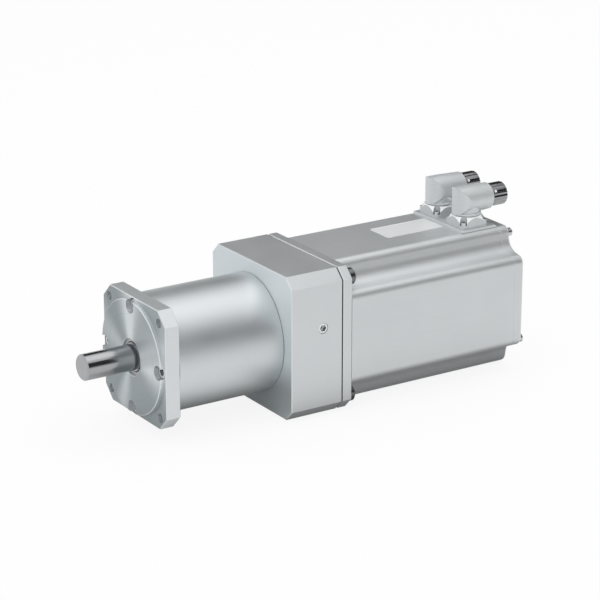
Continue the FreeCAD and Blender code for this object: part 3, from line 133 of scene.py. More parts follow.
class Wire:
    """One socket in a node tree. Arithmetic on it adds Math nodes."""

    def __init__(self, owner, socket):
        self.owner = owner
        self.socket = socket

    def math(self, operation, first, second=0.0):
        return self.owner.node("ShaderNodeMath", {"operation": operation}, {0: first, 1: second})

    def __add__(self, other):
        return self.math("ADD", self, other)

    def __radd__(self, other):
        return self.math("ADD", other, self)

    def __sub__(self, other):
        return self.math("SUBTRACT", self, other)

    def __rsub__(self, other):
        return self.math("SUBTRACT", other, self)

    def __mul__(self, other):
        return self.math("MULTIPLY", self, other)

    def __rmul__(self, other):
        return self.math("MULTIPLY", other, self)

    def __truediv__(self, other):
        return self.math("DIVIDE", self, other)

    def __rtruediv__(self, other):
        return self.math("DIVIDE", other, self)

    def __pow__(self, other):
        return self.math("POWER", self, other)

    def __rpow__(self, other):
        return self.math("POWER", other, self)

    def __abs__(self):
        return self.math("ABSOLUTE", self)

    def at_least(self, other):
        return self.math("MAXIMUM", self, other)

    def at_most(self, other):
        return self.math("MINIMUM", self, other)


class Nodes:
    """A node tree, and the one way that a node is added to it."""

    def __init__(self, tree):
        self.tree = tree

    def node(self, kind, settings, inputs, output=0):
        """Adds a node with its settings and its sockets' values or links, and gives one output."""
        made = self.tree.nodes.new(kind)
        for key, value in settings.items():
            setattr(made, key, value)
        for key, value in inputs.items():
            if isinstance(value, Wire):
                self.tree.links.new(value.socket, made.inputs[key])
            else:
                made.inputs[key].default_value = value
        return Wire(self, made.outputs[output])

    def outputs(self, wire, *names):
        """The named sockets of the node that a wire comes from."""
        return [Wire(self, wire.socket.node.outputs[name]) for name in names]

    def rays(self):
        """1 for rays from the camera, and 1 for rays from mirrors or glass."""
        path = self.node("ShaderNodeLightPath", {}, {})
        seen, mirrored, through = self.outputs(path, "Is Camera Ray", "Is Glossy Ray", "Is Transmission Ray")
        return seen, mirrored + through


class Finish(Nodes):
    """A surface finish: a material whose pattern lies in the object's own millimetres."""

    def __init__(self, name):
        self.material = bpy.data.materials.new(name)
        self.material.use_nodes = True
        super().__init__(self.material.node_tree)
        self.shader = self.tree.nodes["Principled BSDF"]
        self.place = self.node("ShaderNodeTexCoord", {}, {}, "Object")
        self.x, self.y, self.z = self.parts(self.place)

    def parts(self, vector):
        """The X, Y and Z of a vector."""
        return self.outputs(self.node("ShaderNodeSeparateXYZ", {}, {0: vector}), "X", "Y", "Z")

    def stretched(self, x, y, z):
        """Object coordinates in millimetres, stretched by a factor on each axis."""
        return self.node("ShaderNodeMapping", {}, {"Vector": self.place,
                                                   "Scale": (1000 * x, 1000 * y, 1000 * z)})

    def noise(self, vector, scale, detail=3.0):
        """Soft noise from 0 to 1 with a middle of about 0.5."""
        return self.node("ShaderNodeTexNoise", {}, {"Vector": vector, "Scale": scale, "Detail": detail,
                                                    "Roughness": 0.55})

    def lines(self, distance, per_mm, detail=2.0):
        """Fine tool lines across a distance, given in metres."""
        return self.node("ShaderNodeTexNoise", {"noise_dimensions": "1D"},
                         {"W": distance * (1000 * per_mm), "Scale": 1.0, "Detail": detail, "Roughness": 0.6})

    def radius(self):
        """Distance from the drive's axis."""
        return (self.y * self.y + self.z * self.z) ** 0.5

    def facing(self):
        """1 on faces square to the axis, 0 on faces along it."""
        normal = self.node("ShaderNodeTexCoord", {}, {}, "Normal")
        return abs(self.parts(normal)[0]) ** 6.0

    def upward(self):
        """1 on faces that look up, 0 on upright ones, -1 below."""
        return self.parts(self.node("ShaderNodeTexCoord", {}, {}, "Normal"))[2]

    def step(self, value, first, second):
        """0 below the first value, 1 beyond the second."""
        return self.node("ShaderNodeMapRange", {}, {"Value": value, "From Min": first, "From Max": second})

    def smooth(self, value, first, second):
        """A step with soft ends."""
        return self.node("ShaderNodeMapRange", {"interpolation_type": "SMOOTHSTEP"},
                         {"Value": value, "From Min": first, "From Max": second})

    def painted_sheen_sectors(self):
        """Painted sheen: light and shaded sectors about the drive's axis, painted into the colour where a
        faced surface's cutter rings would catch or lose the light.
        """
        radius = self.radius().at_least(0.001)
        across, up = self.y / radius, self.z / radius
        painted_sheen = 0.0
        for angle, sharp, strength in PAINTED_SHEEN_SECTORS:
            turn = math.radians(angle)
            painted_sheen = painted_sheen + (across * math.cos(turn) + up * math.sin(turn)).at_least(0.0) ** sharp * strength
        return painted_sheen.at_most(1.0)

    def edges(self, width_mm):
        """1 along the edges, 0 on open surfaces."""
        rounded = self.node("ShaderNodeBevel", {"samples": 8}, {"Radius": width_mm / 1000})
        plain = self.node("ShaderNodeNewGeometry", {}, {}, "Normal")
        agree = self.node("ShaderNodeVectorMath", {"operation": "DOT_PRODUCT"}, {0: rounded, 1: plain},
                          "Value")
        return ((1 - agree) * 9).at_most(1.0)

    def mixed(self, factor, first, second):
        """Colour between two colours."""
        return self.node("ShaderNodeMix", {"data_type": "RGBA"}, {0: factor, 6: first, 7: second}, 2)

    def between(self, factor, first, second):
        """Number between two numbers."""
        return first + factor * (second - first)

    def bump(self, height, depth_mm):
        """Fine relief of the given depth."""
        return self.node("ShaderNodeBump", {}, {"Height": height, "Strength": 1.0,
                                                "Distance": depth_mm / 1000})

    def surface(self, shader):
        """Gives the material another shader than the usual one."""
        self.tree.links.new(shader.socket, self.tree.nodes["Material Output"].inputs["Surface"])
        return self.material

    def done(self, colour, rough, normal, **others):
        """Feeds the shader and gives the material."""
        feeds = {"Base Color": colour, "Roughness": rough, "Normal": normal}
        for key, value in others.items():
            feeds[key.replace("_", " ").title()] = value
        for key, value in feeds.items():
            if isinstance(value, Wire):
                self.tree.links.new(value.socket, self.shader.inputs[key])
            else:
                self.shader.inputs[key].default_value = value
        return self.material


def tone(red, green, blue):
    """Opaque colour."""
    return (red, green, blue, 1.0)


def turned_aluminium():
    """Flange faced and turned on a lathe: rings on the face, lines round the rim, and a painted sheen of
    light and shaded sectors on the face.
    """
    finish = Finish("turned_aluminium")
    facing = finish.facing()
    rings = finish.lines(finish.radius(), 2.2)
    rim = finish.lines(finish.x, 2.2)
    marks = rings * facing + rim * (1 - facing)
    blotch = finish.noise(finish.stretched(1, 1, 1), 0.05)
    streaks = blotch * 0.08 + marks * 0.07
    outward = finish.step(finish.radius(), *FACE_OUTER_R)
    # Painted sheen on the face: light and shaded sectors, and darker towards the rim.
    painted_sheen = finish.painted_sheen_sectors() * 0.85 + streaks + 0.04 - outward * 0.14
    face = finish.mixed(painted_sheen, tone(0.24, 0.275, 0.29), tone(0.675, 0.72, 0.735))
    side = finish.mixed(streaks * 6, tone(0.69, 0.72, 0.735), tone(0.79, 0.815, 0.825))
    colour = finish.mixed(facing, side, face)
    rough = finish.between(marks, 0.24, 0.36) + (1 - facing) * 0.2
    return finish.done(colour, rough, finish.bump(marks, 0.045), metallic=1 - facing * 0.65)


def turned_steel():
    """Plain turned housing with fine lines round it."""
    finish = Finish("turned_steel")
    lines = finish.noise(finish.stretched(1, 0.01, 0.01), 2.4)
    blotch = finish.noise(finish.stretched(0.6, 1, 1), 0.035)
    colour = finish.mixed(lines * 0.4 + blotch * 0.6, tone(0.615, 0.645, 0.663), tone(0.735, 0.76, 0.775))
    rough = finish.between(blotch * 0.7 + lines * 0.3, 0.42, 0.54)
    return finish.done(colour, rough, finish.bump(lines, 0.02), metallic=1.0)


def blasted_aluminium():
    """Bead-blasted adapter and motor flange: fine grain, painted light on the upper front, painted shadow on
    the front below the gear housing, lighter edges that are worn and carry a painted highlight, and painted
    shade at the back joint.
    """
    finish = Finish("blasted_aluminium")
    grain = finish.noise(finish.stretched(1, 1, 1), 3.2, 2.0)
    blotch = finish.noise(finish.stretched(1, 1, 1), 0.03)
    spread = grain * 0.35 + blotch * 0.65
    facing = finish.facing()
    side = finish.mixed(spread, tone(0.65, 0.672, 0.687), tone(0.75, 0.77, 0.78))
    face = finish.mixed(spread, tone(0.60, 0.66, 0.68), tone(0.69, 0.745, 0.762))
    # Painted light on the front's upper part, and painted shadow on the front below the gear housing.
    front = finish.step(finish.x, *ADAPTER_FRONT_X)
    painted_light = front * finish.step(finish.z, *PAINTED_LIGHT_Z) * finish.step(finish.y, *PAINTED_LIGHT_Y)
    painted_shadow = front * finish.step(finish.z, *PAINTED_SHADOW_Z)
    face = finish.mixed(painted_light * 0.6, face, tone(0.86, 0.91, 0.925))
    face = finish.mixed(painted_shadow * 0.57, face, tone(0.10, 0.11, 0.115))
    skin = finish.mixed(facing, side, face)
    # Edges lighter: worn bare metal, and a painted edge highlight.
    bare_and_highlit = finish.edges(0.5)
    clean = finish.mixed(bare_and_highlit * 0.7, skin, tone(0.84, 0.85, 0.86))
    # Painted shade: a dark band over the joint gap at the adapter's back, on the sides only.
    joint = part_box("adapter_housing")[0][0] + JOINT_SHADE_MIDDLE
    joint_shade_band = 1 - finish.step(abs(finish.x - joint), *JOINT_SHADE_HALF)
    dark = joint_shade_band * finish.step(abs(finish.y), *JOINT_SHADE_Y)
    colour = finish.mixed(dark, clean, tone(0.05, 0.052, 0.055))
    rough = finish.between(blotch, 0.46, 0.54) - bare_and_highlit * 0.15
    return finish.done(colour, rough, finish.bump(grain, 0.02), metallic=1 - facing * 0.5)


def coated_aluminium():
    """Light grey coat on the extruded motor body: faint orange peel, draw lines along the body, and lighter
    edges, worn and with a painted highlight.
    """
    finish = Finish("coated_aluminium")
    peel = finish.noise(finish.stretched(1, 1, 1), 1.1, 2.0)
    draw = finish.noise(finish.stretched(0.006, 1, 1), 1.3, 2.0)
    blotch = finish.noise(finish.stretched(1, 1, 1), 0.025)
    coat = finish.mixed(blotch * 0.6 + draw * 0.4, tone(0.645, 0.667, 0.682), tone(0.74, 0.76, 0.77))
    # Edges lighter: worn coat, and a painted edge highlight.
    worn = finish.edges(0.4)
    colour = finish.mixed(worn * 0.5, coat, tone(0.80, 0.81, 0.82))
    rough = finish.between(peel * 0.5 + blotch * 0.5, 0.49, 0.57)
    return finish.done(colour, rough, finish.bump(peel * 0.7 + draw * 0.3, 0.03), metallic=0.95)


def ground_steel():
    """Ground and polished shaft: bright, with hair-fine lines round it."""
    finish = Finish("ground_steel")
    hair = finish.noise(finish.stretched(1, 0.03, 0.03), 5.0)
    haze = finish.noise(finish.stretched(1, 1, 1), 0.12)
    colour = finish.mixed(haze * 0.6 + hair * 0.4, tone(0.34, 0.35, 0.36), tone(0.41, 0.42, 0.43))
    rough = finish.between(hair * 0.5 + haze * 0.5, 0.13, 0.21)
    return finish.done(colour, rough, finish.bump(hair, 0.002), metallic=1.0)


def gear_steel():
    """Case-hardened gear steel: dark grey with a straw tint and cut lines."""
    finish = Finish("gear_steel")
    cut = finish.noise(finish.stretched(0.02, 1, 1), 3.0)
    temper = finish.noise(finish.stretched(1, 1, 1), 0.09)
    colour = finish.mixed(temper, tone(0.30, 0.30, 0.31), tone(0.42, 0.40, 0.37))
    rough = finish.between(cut, 0.22, 0.36)
    return finish.done(colour, rough, finish.bump(cut, 0.006), metallic=1.0)


def bearing_steel():
    """Lapped bearing steel with a thin oil haze."""
    finish = Finish("bearing_steel")
    lap = finish.noise(finish.stretched(1, 0.05, 0.05), 4.0)
    oil = finish.noise(finish.stretched(1, 1, 1), 0.25)
    colour = finish.mixed(oil, tone(0.52, 0.52, 0.52), tone(0.60, 0.59, 0.56))
    rough = finish.between(lap * 0.4 + oil * 0.6, 0.08, 0.22)
    return finish.done(colour, rough, finish.bump(lap, 0.002), metallic=1.0)


def black_oxide():
    """Black oxide on screws: nearly black, with bare steel showing through in specks."""
    finish = Finish("black_oxide")
    knurl = finish.noise(finish.stretched(1, 1, 1), 2.6)
    worn = finish.step(finish.noise(finish.stretched(1, 1, 1), 0.9, 4.0), 0.56, 0.72)
    colour = finish.mixed(worn * 0.5, tone(0.018, 0.018, 0.02), tone(0.11, 0.11, 0.115))
    rough = finish.between(knurl, 0.30, 0.48)
    return finish.done(colour, rough, finish.bump(knurl, 0.015), metallic=0.6)


def phosphated_steel():
    """Dark grey phosphate on the low-head screws, lighter on the rim: worn bright, and a painted highlight.
    """
    finish = Finish("phosphated_steel")
    crystal = finish.noise(finish.stretched(1, 1, 1), 3.0)
    # Edges lighter: worn bare steel, and a painted edge highlight.
    painted_light = finish.edges(0.8)
    skin = finish.mixed(crystal, tone(0.12, 0.122, 0.126), tone(0.22, 0.224, 0.23))
    colour = finish.mixed(painted_light * 0.6, skin, tone(0.46, 0.465, 0.47))
    rough = finish.between(crystal, 0.24, 0.36)
    return finish.done(colour, rough, finish.bump(crystal, 0.01), metallic=1.0)


def zinc_plate():
    """Bright zinc plating with a faint mottle."""
    finish = Finish("zinc_plate")
    spangle = finish.node("ShaderNodeTexVoronoi", {}, {"Vector": finish.stretched(1, 1, 1), "Scale": 1.4},
                          "Distance")
    haze = finish.noise(finish.stretched(1, 1, 1), 0.5)
    colour = finish.mixed(spangle * 0.5 + haze * 0.5, tone(0.50, 0.515, 0.53), tone(0.66, 0.67, 0.68))
    rough = finish.between(haze, 0.20, 0.34)
    return finish.done(colour, rough, finish.bump(spangle, 0.01), metallic=1.0)


def plug_steel():
    """Pale plated access plug with painted shade in its key socket."""
    finish = Finish("plug_steel")
    low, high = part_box("access_plug")
    along, up = finish.x - (low[0] + high[0]) / 2, finish.z - (low[2] + high[2]) / 2
    haze = finish.noise(finish.stretched(1, 1, 1), 0.5)
    plate = finish.mixed(haze, tone(0.76, 0.775, 0.785), tone(0.87, 0.88, 0.885))
    # Painted shade: the key socket nearly black.
    socket = 1 - finish.step((along * along + up * up) ** 0.5, *PLUG_SOCKET_R)
    colour = finish.mixed(socket * 0.94, plate, tone(0.05, 0.05, 0.052))
    rough = finish.between(haze, 0.30, 0.42)
    return finish.done(colour, rough, finish.bump(haze, 0.01), metallic=1.0)


def cased_seal():
    """Shaft seal: pressed steel case round a black rubber lip."""
    finish = Finish("cased_seal")
    lip = finish.step(finish.radius(), *SEAL_LIP_R)
    drawn = finish.lines(finish.radius(), 3.0)
    haze = finish.noise(finish.stretched(1, 1, 1), 0.4)
    steel = finish.mixed(drawn * 0.4 + haze * 0.6, tone(0.34, 0.352, 0.362), tone(0.45, 0.46, 0.468))
    colour = finish.mixed(lip, tone(0.09, 0.09, 0.092), steel)
    rough = finish.between(lip, 0.55, 0.32) + haze * 0.06
    return finish.done(colour, rough, finish.bump(drawn, 0.01), metallic=lip)


def seal_rubber():
    """Black nitrile rubber with moulding grain."""
    finish = Finish("seal_rubber")
    grain = finish.noise(finish.stretched(1, 1, 1), 2.2)
    dust = finish.noise(finish.stretched(1, 1, 1), 0.3)
    colour = finish.mixed(dust, tone(0.012, 0.012, 0.013), tone(0.035, 0.035, 0.036))
    rough = finish.between(grain, 0.45, 0.65)
    return finish.done(colour, rough, finish.bump(grain, 0.03))


def laminations():
    """Stacked electrical sheets, half a millimetre each, seen edge on."""
    finish = Finish("laminations")
    sheets = finish.node("ShaderNodeTexWave", {"bands_direction": "X", "wave_profile": "SIN"},
                         {"Vector": finish.stretched(1, 1, 1), "Scale": 0.628, "Distortion": 0.4,
                          "Detail": 1.0})
    scorch = finish.noise(finish.stretched(1, 1, 1), 0.12)
    colour = finish.mixed(sheets * 0.6 + scorch * 0.4, tone(0.13, 0.135, 0.15), tone(0.38, 0.385, 0.40))
    rough = finish.between(scorch, 0.35, 0.55)
    return finish.done(colour, rough, finish.bump(sheets, 0.03), metallic=0.9)


def enamelled_copper():
    """Enamelled copper wire laid in rows."""
    finish = Finish("enamelled_copper")
    rows = finish.lines(finish.radius(), 1.1, 0.0)
    tint = finish.noise(finish.stretched(0.1, 1, 1), 0.5)
    colour = finish.mixed(rows * 0.6 + tint * 0.4, tone(0.32, 0.10, 0.035), tone(0.68, 0.30, 0.13))
    rough = finish.between(tint, 0.18, 0.34)
    return finish.done(colour, rough, finish.bump(rows, 0.12), metallic=0.85, coat_weight=0.4)


def magnet_plating():
    """Nickel-plated magnet with a dull pressed surface."""
    finish = Finish("magnet_plating")
    pressed = finish.noise(finish.stretched(1, 1, 1), 1.6)
    haze = finish.noise(finish.stretched(1, 1, 1), 0.2)
    colour = finish.mixed(haze, tone(0.42, 0.42, 0.41), tone(0.52, 0.515, 0.50))
    rough = finish.between(pressed, 0.28, 0.42)
    return finish.done(colour, rough, finish.bump(pressed, 0.01), metallic=1.0)


def cast_connector():
    """Die-cast connector metal under satin nickel: brushed lines along the barrel, a fine skin, and painted
    shade along the edges and creases.
    """
    finish = Finish("cast_connector")
    skin = finish.noise(finish.stretched(1, 1, 1), 2.0)
    brushed = finish.noise(finish.stretched(0.05, 1, 1), 1.3)
    cast = finish.mixed(brushed, tone(0.52, 0.548, 0.562), tone(0.72, 0.745, 0.755))
    # Painted shade: darker along the edges and creases.
    colour = finish.mixed(finish.edges(0.35) * 0.5, cast, tone(0.22, 0.23, 0.24))
    rough = finish.between(brushed * 0.6 + skin * 0.4, 0.40, 0.54)
    return finish.done(colour, rough, finish.bump(brushed * 0.7 + skin * 0.3, 0.05), metallic=0.5)


def cast_base():
    """Die-cast connector base: paler, with slight flow marks, a fine skin and painted light on its upward
    faces.
    """
    finish = Finish("cast_base")
    skin = finish.noise(finish.stretched(1, 1, 1), 2.0)
    flow = finish.noise(finish.stretched(1, 1, 0.4), 0.2)
    cast = finish.mixed(flow, tone(0.50, 0.523, 0.54), tone(0.59, 0.61, 0.622))
    # Painted light: upward faces nearly white.
    colour = finish.mixed(finish.step(finish.upward(), *PAINTED_TOP_LIGHT_UPWARD) * 0.9, cast, tone(0.94, 0.95, 0.955))
    rough = finish.between(flow * 0.6 + skin * 0.4, 0.36, 0.48)
    return finish.done(colour, rough, finish.bump(skin, 0.012), metallic=0.25)


def nickel_ring():
    """Dark bright nickel on the coupling rings, with fine lines along the flutes."""
    finish = Finish("nickel_ring")
    lines = finish.noise(finish.stretched(0.05, 1, 1), 4.0)
    haze = finish.noise(finish.stretched(1, 1, 1), 0.3)
    colour = finish.mixed(haze, tone(0.24, 0.25, 0.26), tone(0.36, 0.36, 0.37))
    rough = finish.between(lines, 0.08, 0.18)
    return finish.done(colour, rough, finish.bump(lines, 0.004), metallic=1.0)


def insulator():
    """Moulded dark insulating plastic with glass-fibre specks."""
    finish = Finish("insulator")
    fibre = finish.noise(finish.stretched(1, 0.3, 1), 2.4)
    colour = finish.mixed(fibre, tone(0.025, 0.025, 0.027), tone(0.07, 0.07, 0.072))
    rough = finish.between(fibre, 0.38, 0.55)
    return finish.done(colour, rough, finish.bump(fibre, 0.02))


def contact_brass():
    """Gold-flashed brass contact pins with turning lines."""
    finish = Finish("contact_brass")
    lines = finish.lines(finish.x, 6.0)
    haze = finish.noise(finish.stretched(1, 1, 1), 0.8)
    colour = finish.mixed(haze, tone(0.66, 0.46, 0.17), tone(0.80, 0.62, 0.30))
    rough = finish.between(lines, 0.14, 0.26)
    return finish.done(colour, rough, finish.bump(lines, 0.004), metallic=1.0)


def label_foil():
    """Pale satin foil of the blank label plate, brushed along its length."""
    finish = Finish("label_foil")
    brushed = finish.noise(finish.stretched(0.02, 1, 1), 3.0)
    haze = finish.noise(finish.stretched(1, 1, 1), 0.08)
    colour = finish.mixed(brushed * 0.5 + haze * 0.5, tone(0.80, 0.82, 0.83), tone(0.91, 0.92, 0.925))
    rough = finish.between(brushed, 0.38, 0.5)
    return finish.done(colour, rough, finish.bump(brushed, 0.01), metallic=0.3)


def painted_glint_white():
    """Painted glint: chalky white on the dome at a coupling ring's front edge."""
    finish = Finish("painted_glint_white")
    chalk = finish.noise(finish.stretched(1, 1, 1), 1.5)
    colour = finish.mixed(chalk, tone(0.84, 0.84, 0.83), tone(0.95, 0.95, 0.94))
    rough = finish.between(chalk, 0.22, 0.38)
    return finish.done(colour, rough, finish.bump(chalk, 0.01), coat_weight=0.3)


FINISHES = {
    turned_aluminium: ["output_flange", "rear_bearing_shield"],
    turned_steel: ["ring_gear_housing"],
    blasted_aluminium: ["adapter_housing", "motor_flange"],
    coated_aluminium: ["motor_housing", "rear_cover", "connector_plate"],
    ground_steel: ["output_shaft", "motor_shaft"],
    gear_steel: ["sun_shaft", "planet_gear_1", "planet_gear_2", "planet_gear_3", "planet_pins",
                 "planet_washers", "clamp_ring", "bearing_circlip", "outer_bearing_spacer",
                 "inner_bearing_spacer", "preload_washer"],
    bearing_steel: ["output_bearing_outer_rings", "output_bearing_inner_rings", "output_bearing_rollers",
                    "input_bearing_outer_ring", "input_bearing_inner_ring", "input_bearing_rollers",
                    "motor_bearing_outer_rings", "motor_bearing_inner_rings", "motor_bearing_rollers",
                    "planet_needles_1", "planet_needles_2", "planet_needles_3"],
    black_oxide: ["clamp_screw", "adapter_screws", "end_shield_screws"],
    phosphated_steel: ["motor_flange_screws"],
    plug_steel: ["access_plug"],
    zinc_plate: ["connector_base_screws", "flange_screws", "rear_cover_screws"],
    cased_seal: ["shaft_seal"],
    seal_rubber: ["motor_shaft_seal", "housing_gasket"],
    laminations: ["stator_core", "rotor_core", "resolver_stator", "resolver_rotor"],
    enamelled_copper: ["stator_windings"],
    magnet_plating: ["rotor_magnets"],
    cast_connector: ["connector_body_1", "connector_body_2"],
    cast_base: ["connector_bases"],
    nickel_ring: ["connector_ring_1", "connector_ring_2"],
    insulator: ["connector_insert_1", "connector_insert_2"],
    contact_brass: ["connector_contacts_1", "connector_contacts_2"],
}


def dress(piece, material):
    """Gives a piece one material all over."""
    piece.data.materials.clear()
    piece.data.materials.append(material)


for make_finish, names in FINISHES.items():
    finish_material = make_finish()
    for name in names:
        dress(nodes[name], finish_material)


def pick(mesh_piece, wanted, kind):
    """Selects the vertices, edges or faces of the piece in edit mode that the test accepts."""
    bpy.ops.mesh.select_all(action="DESELECT")
    bpy.context.tool_settings.mesh_select_mode = (kind == "verts", kind == "edges", kind == "faces")
    shape = bmesh.from_edit_mesh(mesh_piece.data)
    for part in getattr(shape, kind):
        part.select_set(bool(wanted(part)))
    shape.select_flush_mode()
    bmesh.update_edit_mesh(mesh_piece.data)


def label_plate():
    """Blank label plate on the motor's top: rounded corners, raised rim and broken edge."""
    (x_low, y_low), (x_high, y_high) = LABEL_LOW, LABEL_HIGH
    top = MOTOR_TOP + LABEL_T
    bpy.ops.object.select_all(action="DESELECT")
    middle = ((x_low + x_high) / 2, (y_low + y_high) / 2, top - LABEL_T / 2)
    bpy.ops.mesh.primitive_cube_add(size=1.0, location=middle)
    plate = bpy.context.object
    plate.name = "label_plate"
    plate.scale = (x_high - x_low, y_high - y_low, LABEL_T)
    bpy.ops.object.transform_apply(location=True, rotation=True, scale=True)
    bpy.ops.object.mode_set(mode="EDIT")
    pick(plate, lambda edge: abs(edge.verts[0].co.z - edge.verts[1].co.z) > LABEL_T / 2, "edges")
    bpy.ops.mesh.bevel(offset=LABEL_CORNER, segments=6, affect="EDGES")
    pick(plate, lambda face: face.normal.z > 0.9, "faces")
    bpy.ops.mesh.inset(thickness=LABEL_RIM)
    bpy.ops.mesh.inset(thickness=LABEL_STEP[0], depth=LABEL_STEP[1])
    pick(plate, lambda edge: len(edge.link_faces) == 2 and edge.calc_face_angle(0.0) > 1.2
         and min(vertex.co.z for vertex in edge.verts) > top - LABEL_T / 4, "edges")
    bpy.ops.mesh.bevel(offset=LABEL_EDGE, segments=2, affect="EDGES")
    bpy.ops.object.mode_set(mode="OBJECT")
    bpy.ops.object.shade_smooth_by_angle(angle=math.radians(35))
    dress(plate, label_foil())
    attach(plate, "housing")


label_plate()


def ring_glint_dome(number):
    """Domed piece set into the front edge of a coupling ring, carrying a painted glint."""
    low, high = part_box(f"connector_ring_{number}")
    across, up = (low[1] + high[1]) / 2, (low[2] + high[2]) / 2
    radius = (high[1] - low[1]) / 2
    turn = math.radians(GLINT_DOME_ANGLE)
    bpy.ops.object.select_all(action="DESELECT")
    bpy.ops.mesh.primitive_cylinder_add(vertices=32, radius=GLINT_DOME_D / 2, depth=GLINT_DOME_H, location=(0, 0, 0))
    glint_dome = bpy.context.object
    glint_dome.name = f"ring_glint_dome_{number}"
    bpy.ops.object.mode_set(mode="EDIT")
    pick(glint_dome, lambda edge: min(vertex.co.z for vertex in edge.verts) > 0, "edges")
    bpy.ops.mesh.bevel(offset=GLINT_DOME_ROUND, segments=4, affect="EDGES")
    pick(glint_dome, lambda face: face.normal.z > 0.95, "faces")
    bpy.ops.mesh.inset(thickness=GLINT_DOME_CROWN[0], depth=GLINT_DOME_CROWN[1])
    bpy.ops.object.mode_set(mode="OBJECT")
    glint_dome.rotation_euler = (turn - math.pi / 2, 0, 0)
    glint_dome.location = (high[0] - GLINT_DOME_BACK, across + radius * math.cos(turn), up + radius * math.sin(turn))
    bpy.ops.object.transform_apply(location=True, rotation=True, scale=True)
    bpy.ops.object.shade_smooth_by_angle(angle=math.radians(40))
    return glint_dome


def ring_glint_domes():
    """A painted glint on each coupling ring: the second dome is a copy of the first, set over by the rings'
    distance.
    """
    first = ring_glint_dome(1)
    bpy.ops.object.select_all(action="DESELECT")
    first.select_set(True)
    bpy.context.view_layer.objects.active = first
    bpy.ops.object.duplicate()
    second = bpy.context.object
    second.name = "ring_glint_dome_2"
    second.location.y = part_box("connector_ring_2")[0][1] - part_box("connector_ring_1")[0][1]
    bpy.ops.object.transform_apply(location=True, rotation=True, scale=True)
    glint_white = painted_glint_white()
    for number, glint_dome in ((1, first), (2, second)):
        dress(glint_dome, glint_white)
        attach(glint_dome, f"connector_ring_{number}")


ring_glint_domes()


def floor():
    """White studio floor that keeps a soft shadow. It is clear from below."""
    bpy.ops.object.select_all(action="DESELECT")
    bpy.ops.mesh.primitive_plane_add(size=FLOOR_SIZE, location=(FLOOR_MIDDLE_X, 0, FLOOR_Z - FLOOR_DROP))
    ground = bpy.context.object
    ground.name = "studio_floor"
    paint = Finish("studio_white")
    seen, mirrored = paint.rays()
    white = seen * FLOOR_SEEN + mirrored * FLOOR_MIRRORED
    glow = paint.node("ShaderNodeEmission", {}, {"Color": tone(1, 1, 1), "Strength": 1.0})
    chalk = paint.node("ShaderNodeBsdfDiffuse", {}, {"Color": tone(FLOOR_GREY, FLOOR_GREY, FLOOR_GREY)})
    painted = paint.node("ShaderNodeMixShader", {}, {0: white, 1: chalk, 2: glow})
    clear = paint.node("ShaderNodeBsdfTransparent", {}, {})
    below = paint.node("ShaderNodeNewGeometry", {}, {}, "Backfacing")
    dress(ground, paint.surface(paint.node("ShaderNodeMixShader", {}, {0: below, 1: painted, 2: clear})))


def studio_card(name, reach, first, second):
    """Long card along the set, seen only in reflections, between two (y, z) edges."""
    bpy.ops.object.select_all(action="DESELECT")
    bpy.ops.mesh.primitive_plane_add(size=1.0, location=(0, 0, 0))
    card = bpy.context.object
    card.name = name
    corners = [(reach[0], first), (reach[1], first), (reach[1], second), (reach[0], second)]
    order = sorted(card.data.vertices, key=lambda vertex: math.atan2(vertex.co.y, vertex.co.x))
    for vertex, (x, (y, z)) in zip(order, corners):
        vertex.co = (x, y, z)
    card.visible_camera = False
    card.visible_diffuse = False
    card.visible_shadow = False
    card.visible_transmission = False
    return card


def dark_card(name, first, second, fade=None, reach=CARD_X):
    """Dark card beside the set, for the dark lines along polished metal. A fade lightens its foot."""
    paint = Finish(name)
    dark = tone(CARD_LEVEL, CARD_LEVEL, CARD_LEVEL)
    if fade:
        dark = paint.mixed(paint.smooth(paint.z, *fade), tone(1, 1, 1), dark)
    glow = paint.node("ShaderNodeEmission", {}, {"Color": dark, "Strength": 1.0})
    dress(studio_card(name, reach, first, second), paint.surface(glow))


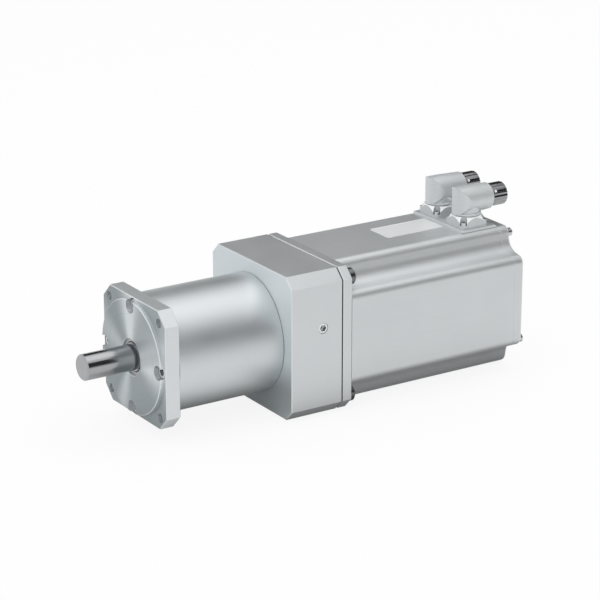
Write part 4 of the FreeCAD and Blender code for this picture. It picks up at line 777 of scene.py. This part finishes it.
def floor_shade(name, reach, sides, level):
    """Shade on the floor beneath the drive, which the undersides reflect."""
    height = FLOOR_Z - SHADE_DROP
    paint = Finish(name)
    shade = (1 - paint.smooth(abs(paint.y), *sides)) * (1 - paint.smooth(paint.x, *SHADE_FADE_X))
    colour = paint.mixed(shade, tone(CLEAR_LEVEL, CLEAR_LEVEL, CLEAR_LEVEL), tone(level, level, level))
    glow = paint.node("ShaderNodeEmission", {}, {"Color": colour, "Strength": 1.0})
    card = studio_card(name, reach, (-sides[1], height), (sides[1], height))
    dress(card, paint.surface(glow))


def softbox():
    """Wide soft lamp above the drive."""
    lamp = bpy.data.lights.new("overhead_softbox", "AREA")
    lamp.shape = "RECTANGLE"
    lamp.size = SOFTBOX_X[1] - SOFTBOX_X[0]
    lamp.size_y = SOFTBOX_Y[1] - SOFTBOX_Y[0]
    lamp.energy = SOFTBOX_LEVEL * math.pi * lamp.size * lamp.size_y
    holder = bpy.data.objects.new("overhead_softbox", lamp)
    holder.location = (sum(SOFTBOX_X) / 2, sum(SOFTBOX_Y) / 2, SOFTBOX_Z)
    holder.visible_camera = False
    bpy.context.scene.collection.objects.link(holder)


def surroundings():
    """White room: white in reflections and to the camera, plain ambient light otherwise."""
    world = bpy.data.worlds.new("white_room")
    world.use_nodes = True
    room = Nodes(world.node_tree)
    seen, mirrored = room.rays()
    level = AMBIENT + (seen + mirrored).at_most(1.0) * (1 - AMBIENT)
    sky = room.tree.nodes["Background"]
    sky.inputs["Color"].default_value = tone(1, 1, 1)
    room.tree.links.new(level.socket, sky.inputs["Strength"])
    bpy.context.scene.world = world


def camera():
    """Long lens at the photo's place, above the output end's right."""
    lens = bpy.data.cameras.new("photo_camera")
    lens.lens = LENS_MM
    lens.sensor_width = SENSOR_MM
    lens.clip_end = FARTHEST
    holder = bpy.data.objects.new("photo_camera", lens)
    holder.location = CAMERA_PLACE
    holder.rotation_euler = (math.radians(CAMERA_TILT), 0, math.radians(CAMERA_TURN))
    bpy.context.scene.collection.objects.link(holder)
    bpy.context.scene.camera = holder


floor()
dark_card("near_dark_card", *NEAR_CARD, fade=CARD_FADE_Z)
dark_card("far_dark_card", *FAR_CARD)
dark_card("rear_flag", *REAR_FLAG, reach=FLAG_X)
floor_shade("gear_shade", *GEAR_SHADE)
floor_shade("drive_shade", *DRIVE_SHADE)
softbox()
surroundings()
camera()
bpy.context.scene.view_settings.view_transform = "Standard"
